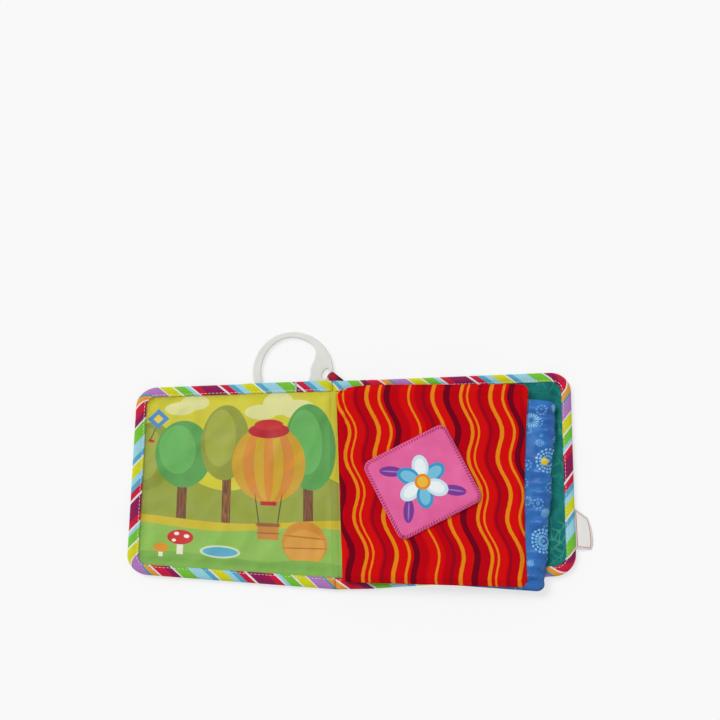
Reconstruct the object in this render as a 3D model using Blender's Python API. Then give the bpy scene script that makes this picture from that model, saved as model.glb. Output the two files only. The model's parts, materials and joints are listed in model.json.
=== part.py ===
"""Soft cloth book for a baby, lying open: two padded covers, a spine, two turning leaves and a link ring."""

import math

import bmesh
import bpy
from mathutils import Matrix, Vector

# Padded covers and spine
COVER_WIDTH = 0.1655
COVER_HEIGHT = 0.171
COVER_THICKNESS = 0.008
SPINE_WIDTH = 0.028
CORNER_RADIUS = 0.017
CLOTH = 0.0008
GAP = 0.0003
FOLD_HEIGHT = 0.0046
SEAM_HALF_THICKNESS = 0.001
SEAM_INSET = 0.0012
SEAM_RAMP = 0.009
FOLD_STATION_SHARES = (0.22, 0.55)
PUFF_RAMP = 0.010
UNDERSIDE_RAMP = 0.0029
WADDING_INSET = 0.0028

# Binding tape that wraps every outer edge
TAPE = 0.0006
TAPE_WIDTH = 0.0092
TAPE_HEIGHT = 0.0062
TAPE_FOLD_STOP = 0.0019
TAPE_NOSE = 0.0034
TAPE_BEND_SHARE = 0.13

# How the soft covers lie: each fore corner's reach outwards and its shift up the page
FRONT_TOP_REACH = -0.0028
FRONT_BOTTOM_REACH = 0.0050
FRONT_TOP_SHIFT = -0.0032
FRONT_BOTTOM_SHIFT = 0.016
BACK_TOP_REACH = 0.0030
BACK_BOTTOM_REACH = 0.0012
BACK_TOP_SHIFT = 0.0038
BACK_BOTTOM_SHIFT = 0.0082

# Leaves, each two cloth sheets round a crinkle film
LEAF_SHEET = 0.001
FILM = 0.0005
FILM_INSET = 0.008
LEAF_RAMP = 0.0055
LEAF_STATION_SHARE = 0.5
LEAF_ROOT_GAP = 0.0008
GUTTER_THICKNESS = 0.001
HEM_THICKNESS = 0.001
HEM_SHARE = 0.5
GUTTER_END_INSET = 0.004
LEAF_CORNER_RADIUS = 0.007
RED_ROOT = -0.0057
RED_WIDTH = 0.1465
RED_HEIGHT = 0.1605
RED_LIFT = 0.0003
RED_TOP_REACH = 0.0035
RED_BOTTOM_REACH = -0.0035
RED_TOP_SHIFT = -0.0022
RED_BOTTOM_SHIFT = -0.007
BLUE_ROOT = 0.0044
BLUE_WIDTH = 0.1535
BLUE_HEIGHT = 0.1565
BLUE_LIFT = 0.0012
BLUE_TOP_REACH = 0.0100
BLUE_BOTTOM_REACH = -0.0056
BLUE_TOP_SHIFT = -0.0152
BLUE_BOTTOM_SHIFT = -0.0135
PUCKER = 0.0014
PUCKER_PITCH = 0.046

# Patch sewn on the red leaf
PATCH_LENGTH = 0.074
PATCH_HEIGHT = 0.069
PATCH_THICKNESS = 0.0007
PATCH_RADIUS = 0.007
PATCH_X = 0.0572
PATCH_Y = -0.0006
PATCH_TILT = math.radians(26)
PATCH_GAP = 0.0002
STITCH_WIDTH = 0.0028
STITCH_HEIGHT = 0.00035
STITCH_INSET = 0.0006

# Link ring with its thick head and eye
RING_OUT = 0.0335
RING_RISE = 0.0085
RING_RADIUS = 0.0335
RING_BAND = 0.0072
RING_TOP_BAND = 0.0048
RING_HEAD = 0.019
RING_THICKNESS = 0.0024
RING_LIFT = 0.0009
RING_EDGE = 0.0006
EYE_OUT = 0.0066
EYE_RISE = 0.0062
EYE_HALF_WIDTH = 0.0026
EYE_HALF_LENGTH = 0.0044
EYE_TILT = math.radians(62)
HEAD_START = math.radians(52)
HEAD_FULL = math.radians(6)
HEAD_END = math.radians(-34)
HEAD_GONE = math.radians(-70)
TOP_BAND_ANGLE = math.radians(95)
RING_FIRST_ANGLE = math.radians(-150)

# Fabric tab that holds the ring
TAB_PLY = 0.00045
TAB_LOOP_WIDTH = 0.0034
TAB_LOOP_WALL = 0.0008
TAB_LOOP_LENGTH = 0.0076
TAB_ANGLE = math.radians(-15)
TAB_LEFT_OUT = 0.0006
TAB_BASE_WIDTH = 0.0114
TAB_APEX_IN = 0.0010
TAB_APEX_RISE = 0.0068
TAB_PLATE = 0.0014

# Woven label in the back cover's outer seam
LABEL_THICKNESS = 0.0008
LABEL_TOP = -0.0225
LABEL_BOTTOM = -0.0565
LABEL_REACH = 0.0125
LABEL_TOP_DROP = 0.0105
LABEL_BOTTOM_DROP = 0.0010
LABEL_BOTTOM_REACH = 0.0022

# Where the cover's edge lies over the ring
RING_ZONE_WIDTH = 0.070
RING_ZONE_DEPTH = 0.028
RING_ZONE_RAMP = 0.011
SQUASH_SHARE = 0.75
RING_STATION_SHARE = 0.5

HALF_SPINE = SPINE_WIDTH / 2
HALF_HEIGHT = COVER_HEIGHT / 2
RING_TOP = RING_LIFT + RING_THICKNESS
RING_CENTRE = Vector((-HALF_SPINE - RING_OUT, HALF_HEIGHT + RING_RISE))
EYE_CENTRE = Vector((-HALF_SPINE - EYE_OUT, HALF_HEIGHT + EYE_RISE))
TAB_LEFT = -HALF_SPINE - TAB_LEFT_OUT
EDGE_LOW = TAPE + GAP
EDGE_HIGH = TAPE_HEIGHT - TAPE - GAP
LEAF_THICKNESS = 2 * LEAF_SHEET + FILM + 2 * GAP
LEAF_AXIS_HEIGHT = COVER_THICKNESS + 1.5 * GAP + LEAF_THICKNESS
RED_BASE = LEAF_AXIS_HEIGHT + GAP / 2
BLUE_BASE = COVER_THICKNESS + GAP


def smooth(value):
    value = min(1.0, max(0.0, value))
    return value * value * (3 - 2 * value)


def mix(low, high, share):
    return low + (high - low) * share


class Panel:
    """A soft rectangle. U runs outwards from its fold or root and V up the page from its middle."""

    def __init__(self, root, side, width, height, radius, reaches, shifts, lift=0.0):
        self.root, self.side, self.width, self.height = root, side, width, height
        self.radius, self.reaches, self.shifts, self.lift = radius, reaches, shifts, lift

    def rounded(self, u, v):
        """Draws the square fore corners in to arcs, keeping each point's distance from the edge."""
        across = u - (self.width - self.radius)
        along = abs(v) - (self.height / 2 - self.radius)
        if across <= 0 or along <= 0:
            return u, v
        scale = max(across, along) / math.hypot(across, along)
        u = self.width - self.radius + across * scale
        v = math.copysign(self.height / 2 - self.radius + along * scale, v)
        return u, v

    def place(self, u, v):
        """World x and y of a point, with the panel lying as skewed as the real one does."""
        u, v = self.rounded(u, v)
        out = u / self.width
        up = v / self.height + 0.5
        x = u + out * mix(self.reaches[1], self.reaches[0], up)
        y = v + self.lift + out * mix(self.shifts[1], self.shifts[0], up)
        return self.root + self.side * x, y


FRONT = Panel(-HALF_SPINE, -1, COVER_WIDTH, COVER_HEIGHT, CORNER_RADIUS,
              (FRONT_TOP_REACH, FRONT_BOTTOM_REACH), (FRONT_TOP_SHIFT, FRONT_BOTTOM_SHIFT))
BACK = Panel(HALF_SPINE, 1, COVER_WIDTH, COVER_HEIGHT, CORNER_RADIUS,
             (BACK_TOP_REACH, BACK_BOTTOM_REACH), (BACK_TOP_SHIFT, BACK_BOTTOM_SHIFT))
SPINE = Panel(-HALF_SPINE, 1, SPINE_WIDTH, COVER_HEIGHT, 0.0, (0.0, 0.0), (0.0, 0.0))
RED = Panel(RED_ROOT + LEAF_ROOT_GAP, 1, RED_WIDTH, RED_HEIGHT, LEAF_CORNER_RADIUS,
            (RED_TOP_REACH, RED_BOTTOM_REACH), (RED_TOP_SHIFT, RED_BOTTOM_SHIFT), RED_LIFT)
BLUE = Panel(BLUE_ROOT + LEAF_ROOT_GAP, 1, BLUE_WIDTH, BLUE_HEIGHT, LEAF_CORNER_RADIUS,
             (BLUE_TOP_REACH, BLUE_BOTTOM_REACH), (BLUE_TOP_SHIFT, BLUE_BOTTOM_SHIFT), BLUE_LIFT)


def cover_faces(panel, u, v):
    """Heights of a cover's underside, of its top, and of the lowest thing below it, its tape."""
    if panel is SPINE:
        fold = min(u, panel.width - u)
        edge = panel.height / 2 - abs(v)
    else:
        fold = u
        edge = min(panel.width - u, panel.height / 2 - abs(v))
    rise = smooth((fold - SEAM_INSET) / SEAM_RAMP)
    seam_low = FOLD_HEIGHT - SEAM_HALF_THICKNESS
    seam_high = FOLD_HEIGHT + SEAM_HALF_THICKNESS
    past_tape = edge - TAPE_WIDTH - GAP
    clear = smooth(past_tape / UNDERSIDE_RAMP)
    low = max(mix(EDGE_LOW, 0.0, clear), mix(seam_low, 0.0, rise))
    high = min(mix(EDGE_HIGH, COVER_THICKNESS, smooth(past_tape / PUFF_RAMP)),
               mix(seam_high, COVER_THICKNESS, rise))
    return low, high, low - mix(EDGE_LOW, 0.0, clear)


def ring_floor(panel, u, v):
    """Height that the front cover's underside keeps over the ring that lies beneath its top edge."""
    if panel is not FRONT:
        return 0.0
    along = 1 - smooth((u - RING_ZONE_WIDTH) / RING_ZONE_RAMP)
    depth = 1 - smooth((panel.height / 2 - v - RING_ZONE_DEPTH) / RING_ZONE_RAMP)
    return (RING_TOP + GAP) * along * depth


def settle(panel, u, v, z):
    """Lifts a height where the cover lies on the ring, and squashes the wadding above it."""
    base = cover_faces(panel, u, v)[2]
    lift = max(0.0, ring_floor(panel, u, v) - base)
    return z + lift * (1 - SQUASH_SHARE * (z - base) / COVER_THICKNESS)


def outer_heights(panel, u, v):
    low = cover_faces(panel, u, v)[0]
    return [settle(panel, u, v, z) for z in (low, low + CLOTH)]


def wadding_heights(panel, u, v):
    low, high = cover_faces(panel, u, v)[:2]
    inside = CLOTH + GAP
    return [settle(panel, u, v, z) for z in (low + inside, high - inside)]


def lining_heights(panel, u, v):
    high = cover_faces(panel, u, v)[1]
    return [settle(panel, u, v, z) for z in (high - CLOTH, high)]


def leaf_edge(panel, u, v):
    return min(u, panel.width - u, panel.height / 2 - abs(v))


def back_sheet_heights(panel, u, v):
    return 0.0, LEAF_SHEET


def film_heights(panel, u, v):
    return LEAF_SHEET + GAP, LEAF_SHEET + GAP + FILM


def front_sheet_heights(panel, u, v):
    low = LEAF_SHEET + GAP + (FILM + GAP) * smooth(leaf_edge(panel, u, v) / LEAF_RAMP)
    return low, low + LEAF_SHEET


def material(name, color, roughness, metallic=0.0):
    made = bpy.data.materials.new(name)
    made.use_nodes = True
    shader = made.node_tree.nodes["Principled BSDF"]
    shader.inputs["Base Color"].default_value = (*color, 1.0)
    shader.inputs["Roughness"].default_value = roughness
    shader.inputs["Metallic"].default_value = metallic
    made.diffuse_color = (*color, 1.0)
    return made


def add_object(name, mesh, finish, parent=None, smooth_faces=False):
    mesh.materials.append(finish)
    if smooth_faces:
        mesh.shade_smooth()
    obj = bpy.data.objects.new(name, mesh)
    bpy.context.scene.collection.objects.link(obj)
    if parent is not None:
        obj.parent = parent
        obj.matrix_parent_inverse = Matrix.Translation(-parent.location)
    return obj


def pivot(name, location):
    """An empty on a joint's axis, which carries the pieces that move with it."""
    empty = bpy.data.objects.new(name, None)
    empty.location = location
    empty.empty_display_size = SPINE_WIDTH
    bpy.context.scene.collection.objects.link(empty)
    return empty


def mesh_from(bm, name):
    bmesh.ops.recalc_face_normals(bm, faces=bm.faces)
    mesh = bpy.data.meshes.new(name)
    bm.to_mesh(mesh)
    bm.free()
    return mesh


def layer(name, panel, us, vs, heights, finish, parent=None, base=0.0, ripple=None):
    """One cloth or filling layer: a grid of columns, each with its lower and its upper height."""
    bm = bmesh.new()
    columns = []
    for u in us:
        column = []
        for v in vs:
            x, y = panel.place(u, v)
            if ripple is not None:
                x += ripple(u, v)
            low, high = heights(panel, u, v)
            column.append((bm.verts.new((x, y, base + low)), bm.verts.new((x, y, base + high))))
        columns.append(column)
    last_u = len(us) - 1
    last_v = len(vs) - 1
    for i in range(last_u):
        for j in range(last_v):
            for level in (0, 1):
                bm.faces.new((columns[i][j][level], columns[i + 1][j][level],
                              columns[i + 1][j + 1][level], columns[i][j + 1][level]))
    border = [(i, 0) for i in range(last_u)] + [(last_u, j) for j in range(last_v)]
    border += [(i, last_v) for i in range(last_u, 0, -1)] + [(0, j) for j in range(last_v, 0, -1)]
    for (i, j), (k, m) in zip(border, border[1:] + border[:1]):
        bm.faces.new((columns[i][j][0], columns[k][m][0], columns[k][m][1], columns[i][j][1]))
    return add_object(name, mesh_from(bm, name), finish, parent)


def tape_profile():
    """Inset from the edge and height of each point round the folded tape's section."""
    bend = TAPE_HEIGHT * TAPE_BEND_SHARE
    middle = TAPE_HEIGHT / 2
    outside = [(TAPE_WIDTH, 0.0), (TAPE_NOSE, 0.0), (bend, bend), (0.0, middle),
               (bend, TAPE_HEIGHT - bend), (TAPE_NOSE, TAPE_HEIGHT), (TAPE_WIDTH, TAPE_HEIGHT)]
    inside = [(TAPE_WIDTH, TAPE_HEIGHT - TAPE), (TAPE_NOSE, TAPE_HEIGHT - TAPE),
              (bend + TAPE, middle), (TAPE_NOSE, TAPE), (TAPE_WIDTH, TAPE)]
    return outside + inside


def tape_height(panel, u, v, z):
    """Height of a point of the tape, which follows the cover's two faces down into the fold."""
    low, high = cover_faces(panel, u, v)[:2]
    return settle(panel, u, v, mix(low - EDGE_LOW, high + EDGE_LOW, z / TAPE_HEIGHT))


def tape_route(panel, us, vs, inset, arc_steps=6):
    """Points along an edge at one inset: out from the fold, round both fore corners and back."""
    out = panel.width - inset
    top = panel.height / 2 - inset
    reach = panel.radius - inset
    straight_us = [u for u in us if u < panel.width - panel.radius]
    straight_vs = [v for v in vs if abs(v) < panel.height / 2 - panel.radius]
    arc = []
    for step in range(arc_steps + 1):
        angle = math.pi / 2 * step / arc_steps
        across, along = math.sin(angle), math.cos(angle)
        longest = max(across, along)
        arc.append((out - reach + reach * across / longest, top - reach + reach * along / longest))
    route = [(u, -top) for u in straight_us] + [(u, -v) for u, v in arc]
    route += [(out, v) for v in straight_vs] + list(reversed(arc))
    return route + [(u, top) for u in reversed(straight_us)]


def swept_tape(name, panel, routes, finish, parent):
    """Joins the same points of each route round the tape's section into one closed band."""
    bm = bmesh.new()
    loops = []
    for (inset, z), route in zip(tape_profile(), routes):
        loops.append([bm.verts.new((*panel.place(u, v), tape_height(panel, u, v, z)))
                      for u, v in route])
    for k, here in enumerate(loops):
        there = loops[(k + 1) % len(loops)]
        for a in range(len(here) - 1):
            bm.faces.new((here[a], here[a + 1], there[a + 1], there[a]))
    bm.faces.new([loop[0] for loop in loops])
    bm.faces.new([loop[-1] for loop in loops])
    return add_object(name, mesh_from(bm, name), finish, parent)


def binding(name, panel, us, vs, finish, parent=None):
    """Folded tape round three sides of a cover."""
    routes = [tape_route(panel, us, vs, inset) for inset, z in tape_profile()]
    return swept_tape(name, panel, routes, finish, parent)


def spine_tape(name, side, us, finish, parent):
    """The short run of binding that closes one end of the spine."""
    routes = [[(u, side * (HALF_HEIGHT - inset)) for u in us] for inset, z in tape_profile()]
    return swept_tape(name, SPINE, routes, finish, parent)


def block(name, corners, finish, parent=None):
    """A closed solid between a lower and an upper polygon of the same count."""
    bm = bmesh.new()
    low = [bm.verts.new(point) for point in corners[0]]
    high = [bm.verts.new(point) for point in corners[1]]
    bm.faces.new(low)
    bm.faces.new(high)
    for a in range(len(low)):
        b = (a + 1) % len(low)
        bm.faces.new((low[a], low[b], high[b], high[a]))
    return add_object(name, mesh_from(bm, name), finish, parent)


def strip(name, middle, width, bottom, top, low, high, finish, parent=None):
    """An upright band of cloth along the page height."""
    left = middle - width / 2
    right = middle + width / 2
    outline = [(left, bottom), (right, bottom), (right, top), (left, top)]
    corners = [[(x, y, z) for x, y in outline] for z in (low, high)]
    return block(name, corners, finish, parent)


def rounded_square(length, height, radius, steps=5):
    points = []
    for k, (sx, sy) in enumerate(((1, 1), (-1, 1), (-1, -1), (1, -1))):
        for step in range(steps + 1):
            turn = (k + step / steps) * math.pi / 2
            points.append((sx * (length / 2 - radius) + radius * math.cos(turn),
                           sy * (height / 2 - radius) + radius * math.sin(turn)))
    return points


def on_patch(points, z):
    turn = Matrix.Rotation(PATCH_TILT, 2)
    placed = [turn @ Vector(point) for point in points]
    return [(PATCH_X + point.x, PATCH_Y + point.y, z) for point in placed]


def ring_band(angle):
    """Width of the link ring's band at an angle round its centre, with the head at the right."""
    if angle >= HEAD_FULL:
        head = 1 - smooth((angle - HEAD_FULL) / (HEAD_START - HEAD_FULL))
    else:
        head = smooth((angle - HEAD_GONE) / (HEAD_END - HEAD_GONE))
    slim = math.exp(-((angle - TOP_BAND_ANGLE) / (HEAD_START - HEAD_FULL)) ** 2)
    return mix(mix(RING_BAND, RING_TOP_BAND, slim), RING_HEAD, head)


def ring_mesh(name, steps=60):
    """A flat moulded ring with softened edges, drawn round section by section."""
    bm = bmesh.new()
    sections = []
    for step in range(steps):
        angle = RING_FIRST_ANGLE + 2 * math.pi * step / steps
        outside = RING_RADIUS
        inside = RING_RADIUS - ring_band(angle)
        low, high = RING_LIFT, RING_TOP
        corners = [(inside + RING_EDGE, low), (outside - RING_EDGE, low), (outside, low + RING_EDGE),
                   (outside, high - RING_EDGE), (outside - RING_EDGE, high),
                   (inside + RING_EDGE, high), (inside, high - RING_EDGE), (inside, low + RING_EDGE)]
        sections.append([bm.verts.new((RING_CENTRE.x + r * math.cos(angle),
                                       RING_CENTRE.y + r * math.sin(angle), z))
                         for r, z in corners])
    for step in range(steps):
        here, there = sections[step], sections[(step + 1) % steps]
        for k in range(len(here)):
            m = (k + 1) % len(here)
            bm.faces.new((here[k], here[m], there[m], there[k]))
    return mesh_from(bm, name)


def oval_cutter(name, steps=20):
    turn = Matrix.Rotation(EYE_TILT, 2)
    ends = []
    for z in (0.0, RING_TOP + RING_LIFT):
        points = []
        for step in range(steps):
            angle = 2 * math.pi * step / steps
            point = turn @ Vector((EYE_HALF_LENGTH * math.cos(angle), EYE_HALF_WIDTH * math.sin(angle)))
            points.append((EYE_CENTRE.x + point.x, EYE_CENTRE.y + point.y, z))
        ends.append(points)
    cutter = block(name, ends, PLASTIC)
    cutter.hide_render = True
    cutter.display_type = "WIRE"
    return cutter


def boolean(obj, other, operation):
    modifier = obj.modifiers.new(operation.title(), "BOOLEAN")
    modifier.operation = operation
    modifier.solver = "EXACT"
    modifier.object = other
    other.hide_render = True
    other.display_type = "WIRE"


for old in list(bpy.data.objects):
    bpy.data.objects.remove(old, do_unlink=True)

OUTER_PRINT = material("outer_cloth", (0.05, 0.30, 0.24), 0.85)
PAGE_PRINT = material("printed_page", (0.45, 0.62, 0.14), 0.75)
TEAL = material("teal_batik", (0.010, 0.19, 0.13), 0.8)
STRIPES = material("striped_binding", (0.55, 0.03, 0.10), 0.7)
WADDING = material("wadding", (0.85, 0.85, 0.82), 0.95)
RED_PLUSH = material("red_plush", (0.62, 0.01, 0.015), 0.9)
BLUE_SATIN = material("blue_satin", (0.03, 0.19, 0.58), 0.35)
LEAF_BACK = material("leaf_backing", (0.75, 0.40, 0.05), 0.8)
CRINKLE = material("crinkle_film", (0.80, 0.82, 0.85), 0.3)
PINK = material("pink_cloth", (0.78, 0.08, 0.30), 0.75)
THREAD = material("magenta_thread", (0.55, 0.01, 0.22), 0.6)
PLASTIC = material("pale_plastic", (0.68, 0.70, 0.66), 0.4)
CRIMSON = material("crimson_ribbon", (0.50, 0.01, 0.05), 0.7)
LABEL = material("white_label", (0.85, 0.85, 0.84), 0.6)

fold_pivot = pivot("spine_fold_axis", (HALF_SPINE, 0.0, FOLD_HEIGHT))
front_pivot = pivot("front_cover_fold_axis", (-HALF_SPINE, 0.0, FOLD_HEIGHT))
red_pivot = pivot("red_leaf_axis", (RED_ROOT, 0.0, LEAF_AXIS_HEIGHT))
blue_pivot = pivot("blue_leaf_axis", (BLUE_ROOT, 0.0, LEAF_AXIS_HEIGHT))
eye_pivot = pivot("link_eye_axis", (EYE_CENTRE.x, EYE_CENTRE.y, RING_LIFT))
tab_edge = HALF_HEIGHT + GAP
tab_pivot = pivot("link_tab_axis", (TAB_LEFT, tab_edge, RING_TOP + GAP + TAB_PLY))
label_root = BACK.place(COVER_WIDTH, LABEL_BOTTOM)[0] + LABEL_THICKNESS / 2 + GAP
label_pivot = pivot("label_axis", (label_root, (LABEL_TOP + LABEL_BOTTOM) / 2, TAPE_HEIGHT / 2))

# Stations of the covers' grids: across from the fold, and up the page
edge_insets = [TAPE_NOSE, TAPE_WIDTH + GAP, TAPE_WIDTH + GAP + UNDERSIDE_RAMP,
               TAPE_WIDTH + GAP + PUFF_RAMP]
fold_insets = [SEAM_INSET] + [SEAM_INSET + SEAM_RAMP * share for share in FOLD_STATION_SHARES]
fold_insets += [SEAM_INSET + SEAM_RAMP]
wadding_fold_insets = [SEAM_INSET + WADDING_INSET] + fold_insets[2:]
ring_insets = [RING_ZONE_DEPTH, RING_ZONE_DEPTH + RING_ZONE_RAMP]
ring_us = [RING_ZONE_WIDTH * RING_STATION_SHARE, RING_ZONE_WIDTH, RING_ZONE_WIDTH + RING_ZONE_RAMP]
fore_us = [COVER_WIDTH - inset for inset in reversed(edge_insets)]
low_vs = [inset - HALF_HEIGHT for inset in edge_insets]
high_vs = [-v for v in reversed(low_vs)]
plain_vs = low_vs + high_vs
ring_vs = low_vs + [HALF_HEIGHT - inset for inset in reversed(ring_insets)] + high_vs

for label, panel, lining_finish, carrier, middle_us, page_vs in (
        ("front_cover", FRONT, PAGE_PRINT, front_pivot, ring_us, ring_vs),
        ("back_cover", BACK, TEAL, None, [], plain_vs)):
    cover_us = fold_insets + middle_us + fore_us
    fill_us = wadding_fold_insets + middle_us + fore_us
    layer(label + "_outer", panel, cover_us, page_vs, outer_heights, OUTER_PRINT, carrier)
    layer(label + "_padding", panel, fill_us, page_vs, wadding_heights, WADDING, carrier)
    layer(label + "_lining", panel, cover_us, page_vs, lining_heights, lining_finish, carrier)
    tape_us = [TAPE_FOLD_STOP] + fold_insets[1:] + middle_us
    binding(label + "_binding", panel, tape_us, page_vs, STRIPES, carrier)

spine_us = fold_insets + [SPINE_WIDTH - inset for inset in reversed(fold_insets)]
spine_fill_us = wadding_fold_insets + [SPINE_WIDTH - inset for inset in reversed(wadding_fold_insets)]
layer("spine_outer", SPINE, spine_us, plain_vs, outer_heights, OUTER_PRINT, fold_pivot)
layer("spine_padding", SPINE, spine_fill_us, plain_vs, wadding_heights, WADDING, fold_pivot)
layer("spine_lining", SPINE, spine_us, plain_vs, lining_heights, PAGE_PRINT, fold_pivot)

tape_ends = [TAPE_FOLD_STOP] + fold_insets[1:]
spine_tape_us = tape_ends + [SPINE_WIDTH - inset for inset in reversed(tape_ends)]
spine_tape("spine_binding_top", 1, spine_tape_us, STRIPES, fold_pivot)
spine_tape("spine_binding_bottom", -1, spine_tape_us, STRIPES, fold_pivot)


def leaf(label, panel, root, base, carrier, sheet_finish, ripple=None, extra_vs=()):
    """One leaf: its backing, the crinkle film inside, its front sheet and the band it is sewn in by."""
    insets = [0.0, LEAF_RAMP * LEAF_STATION_SHARE, LEAF_RAMP, LEAF_CORNER_RADIUS]
    us = insets + [panel.width - inset for inset in reversed(insets)]
    half = panel.height / 2
    vs = [inset - half for inset in insets] + list(extra_vs) + [half - inset for inset in reversed(insets)]
    layer(label + "_back", panel, us, vs, back_sheet_heights, LEAF_BACK, carrier, base, ripple)
    film_us = [FILM_INSET, panel.width - FILM_INSET]
    film_vs = [FILM_INSET - half, half - FILM_INSET]
    layer(label + "_crinkle_film", panel, film_us, film_vs, film_heights, CRINKLE, carrier, base)
    layer(label + "_front", panel, us, vs, front_sheet_heights, sheet_finish, carrier, base, ripple)
    bottom = panel.lift - half + GUTTER_END_INSET
    top = panel.lift + half - GUTTER_END_INSET
    face = cover_faces(SPINE, root + HALF_SPINE, 0.0)[1]
    strip_low = face + GAP
    strip_high = LEAF_AXIS_HEIGHT - GAP / 2
    split = mix(strip_low, strip_high, HEM_SHARE)
    strip(label + "_hem", root, HEM_THICKNESS, bottom, top, strip_low, split - GAP / 2,
          sheet_finish, fold_pivot)
    strip(label + "_gutter", root, GUTTER_THICKNESS, bottom, top, split + GAP / 2, strip_high,
          sheet_finish, carrier)


def pucker(u, v):
    """The satin leaf's fore edge is drawn in by its seam."""
    share = smooth((u - BLUE.width / 2) / (BLUE.width / 2))
    return PUCKER * share * math.cos(2 * math.pi * v / PUCKER_PITCH)


blue_waves = [PUCKER_PITCH * k / 4 for k in range(-6, 7)]
blue_waves = [v for v in blue_waves if abs(v) < BLUE_HEIGHT / 2 - LEAF_CORNER_RADIUS]
leaf("red_leaf", RED, RED_ROOT, RED_BASE, red_pivot, RED_PLUSH)
leaf("blue_leaf", BLUE, BLUE_ROOT, BLUE_BASE, blue_pivot, BLUE_SATIN, pucker, blue_waves)

# Patch on the red leaf, and the frame of stitches that holds it
patch_low = RED_BASE + LEAF_THICKNESS + PATCH_GAP
patch_high = patch_low + PATCH_THICKNESS
patch_outline = rounded_square(PATCH_LENGTH, PATCH_HEIGHT, PATCH_RADIUS)
block("applique_patch", [on_patch(patch_outline, z) for z in (patch_low, patch_high)], PINK, red_pivot)


def stitch_frame(name, finish, parent):
    outer = rounded_square(PATCH_LENGTH - 2 * STITCH_INSET, PATCH_HEIGHT - 2 * STITCH_INSET,
                           PATCH_RADIUS - STITCH_INSET)
    inward = 2 * (STITCH_INSET + STITCH_WIDTH)
    inner = rounded_square(PATCH_LENGTH - inward, PATCH_HEIGHT - inward,
                           PATCH_RADIUS - STITCH_INSET - STITCH_WIDTH)
    low = patch_high + PATCH_GAP
    high = low + STITCH_HEIGHT
    bm = bmesh.new()
    rings = [[bm.verts.new(point) for point in on_patch(points, z)]
             for points, z in ((outer, low), (outer, high), (inner, high), (inner, low))]
    for k in range(4):
        here, there = rings[k], rings[(k + 1) % 4]
        for a in range(len(here)):
            b = (a + 1) % len(here)
            bm.faces.new((here[a], here[b], there[b], there[a]))
    return add_object(name, mesh_from(bm, name), finish, parent)


stitch_frame("patch_stitching", THREAD, red_pivot)

# Link ring, with the eye cut through its head
ring = add_object("link_ring", ring_mesh("link_ring"), PLASTIC, eye_pivot)
boolean(ring, oval_cutter("eye_cutter"), "DIFFERENCE")

# Tab: a folded ribbon sewn in at the spine's top edge, with a loop round the bar of the eye
plate_low = FOLD_HEIGHT / 2 - TAB_PLATE / 2
plate_outline = [(TAB_LEFT, tab_edge), (TAB_LEFT + TAB_BASE_WIDTH, tab_edge),
                 (TAB_LEFT + TAB_APEX_IN, HALF_HEIGHT + TAB_APEX_RISE)]
plate = block("link_tab", [[(x, y, z) for x, y in plate_outline]
                           for z in (plate_low, plate_low + TAB_PLATE)], CRIMSON, tab_pivot)


def loop_helper(name):
    """The ribbon's loop: two plies above and below the eye's bar, joined through the eye."""
    along = Vector((math.cos(TAB_ANGLE), math.sin(TAB_ANGLE)))
    across = Vector((-along.y, along.x))
    low = RING_LIFT - GAP
    high = RING_TOP + GAP
    start = -TAB_LOOP_WALL / 2
    section = [[(start, low - TAB_PLY), (TAB_LOOP_LENGTH, low - TAB_PLY),
                (TAB_LOOP_LENGTH, high + TAB_PLY), (start, high + TAB_PLY)],
               [(start + TAB_LOOP_WALL, low), (TAB_LOOP_LENGTH - TAB_LOOP_WALL, low),
                (TAB_LOOP_LENGTH - TAB_LOOP_WALL, high), (start + TAB_LOOP_WALL, high)]]
    bm = bmesh.new()
    rings = []
    for points in section:
        for side in (-1, 1):
            ring_points = []
            for u, z in points:
                spot = EYE_CENTRE + along * u + across * side * TAB_LOOP_WIDTH / 2
                ring_points.append(bm.verts.new((spot.x, spot.y, z)))
            rings.append(ring_points)
    outer_a, outer_b, inner_a, inner_b = rings
    for here, there in ((outer_a, outer_b), (outer_b, inner_b), (inner_b, inner_a), (inner_a, outer_a)):
        for k in range(4):
            m = (k + 1) % 4
            bm.faces.new((here[k], here[m], there[m], there[k]))
    return add_object(name, mesh_from(bm, name), CRIMSON)


boolean(plate, loop_helper("tab_loop"), "UNION")

# Woven label, folded double and sewn into the outer seam, its far end lying on the floor
label_low = TAPE_HEIGHT / 2 - LABEL_THICKNESS / 2
label_outline = [(label_root, LABEL_BOTTOM, label_low),
                 (label_root + LABEL_REACH + LABEL_BOTTOM_REACH, LABEL_BOTTOM - LABEL_BOTTOM_DROP, GAP),
                 (label_root + LABEL_REACH, LABEL_TOP - LABEL_TOP_DROP, GAP),
                 (label_root, LABEL_TOP, label_low)]
block("woven_label", [label_outline, [(x, y, z + LABEL_THICKNESS) for x, y, z in label_outline]],
      LABEL, label_pivot)
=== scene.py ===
"""Looks of the soft cloth book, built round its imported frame."""

import json
import math

import bmesh
import bpy
from mathutils import Matrix, Vector, noise

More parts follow.
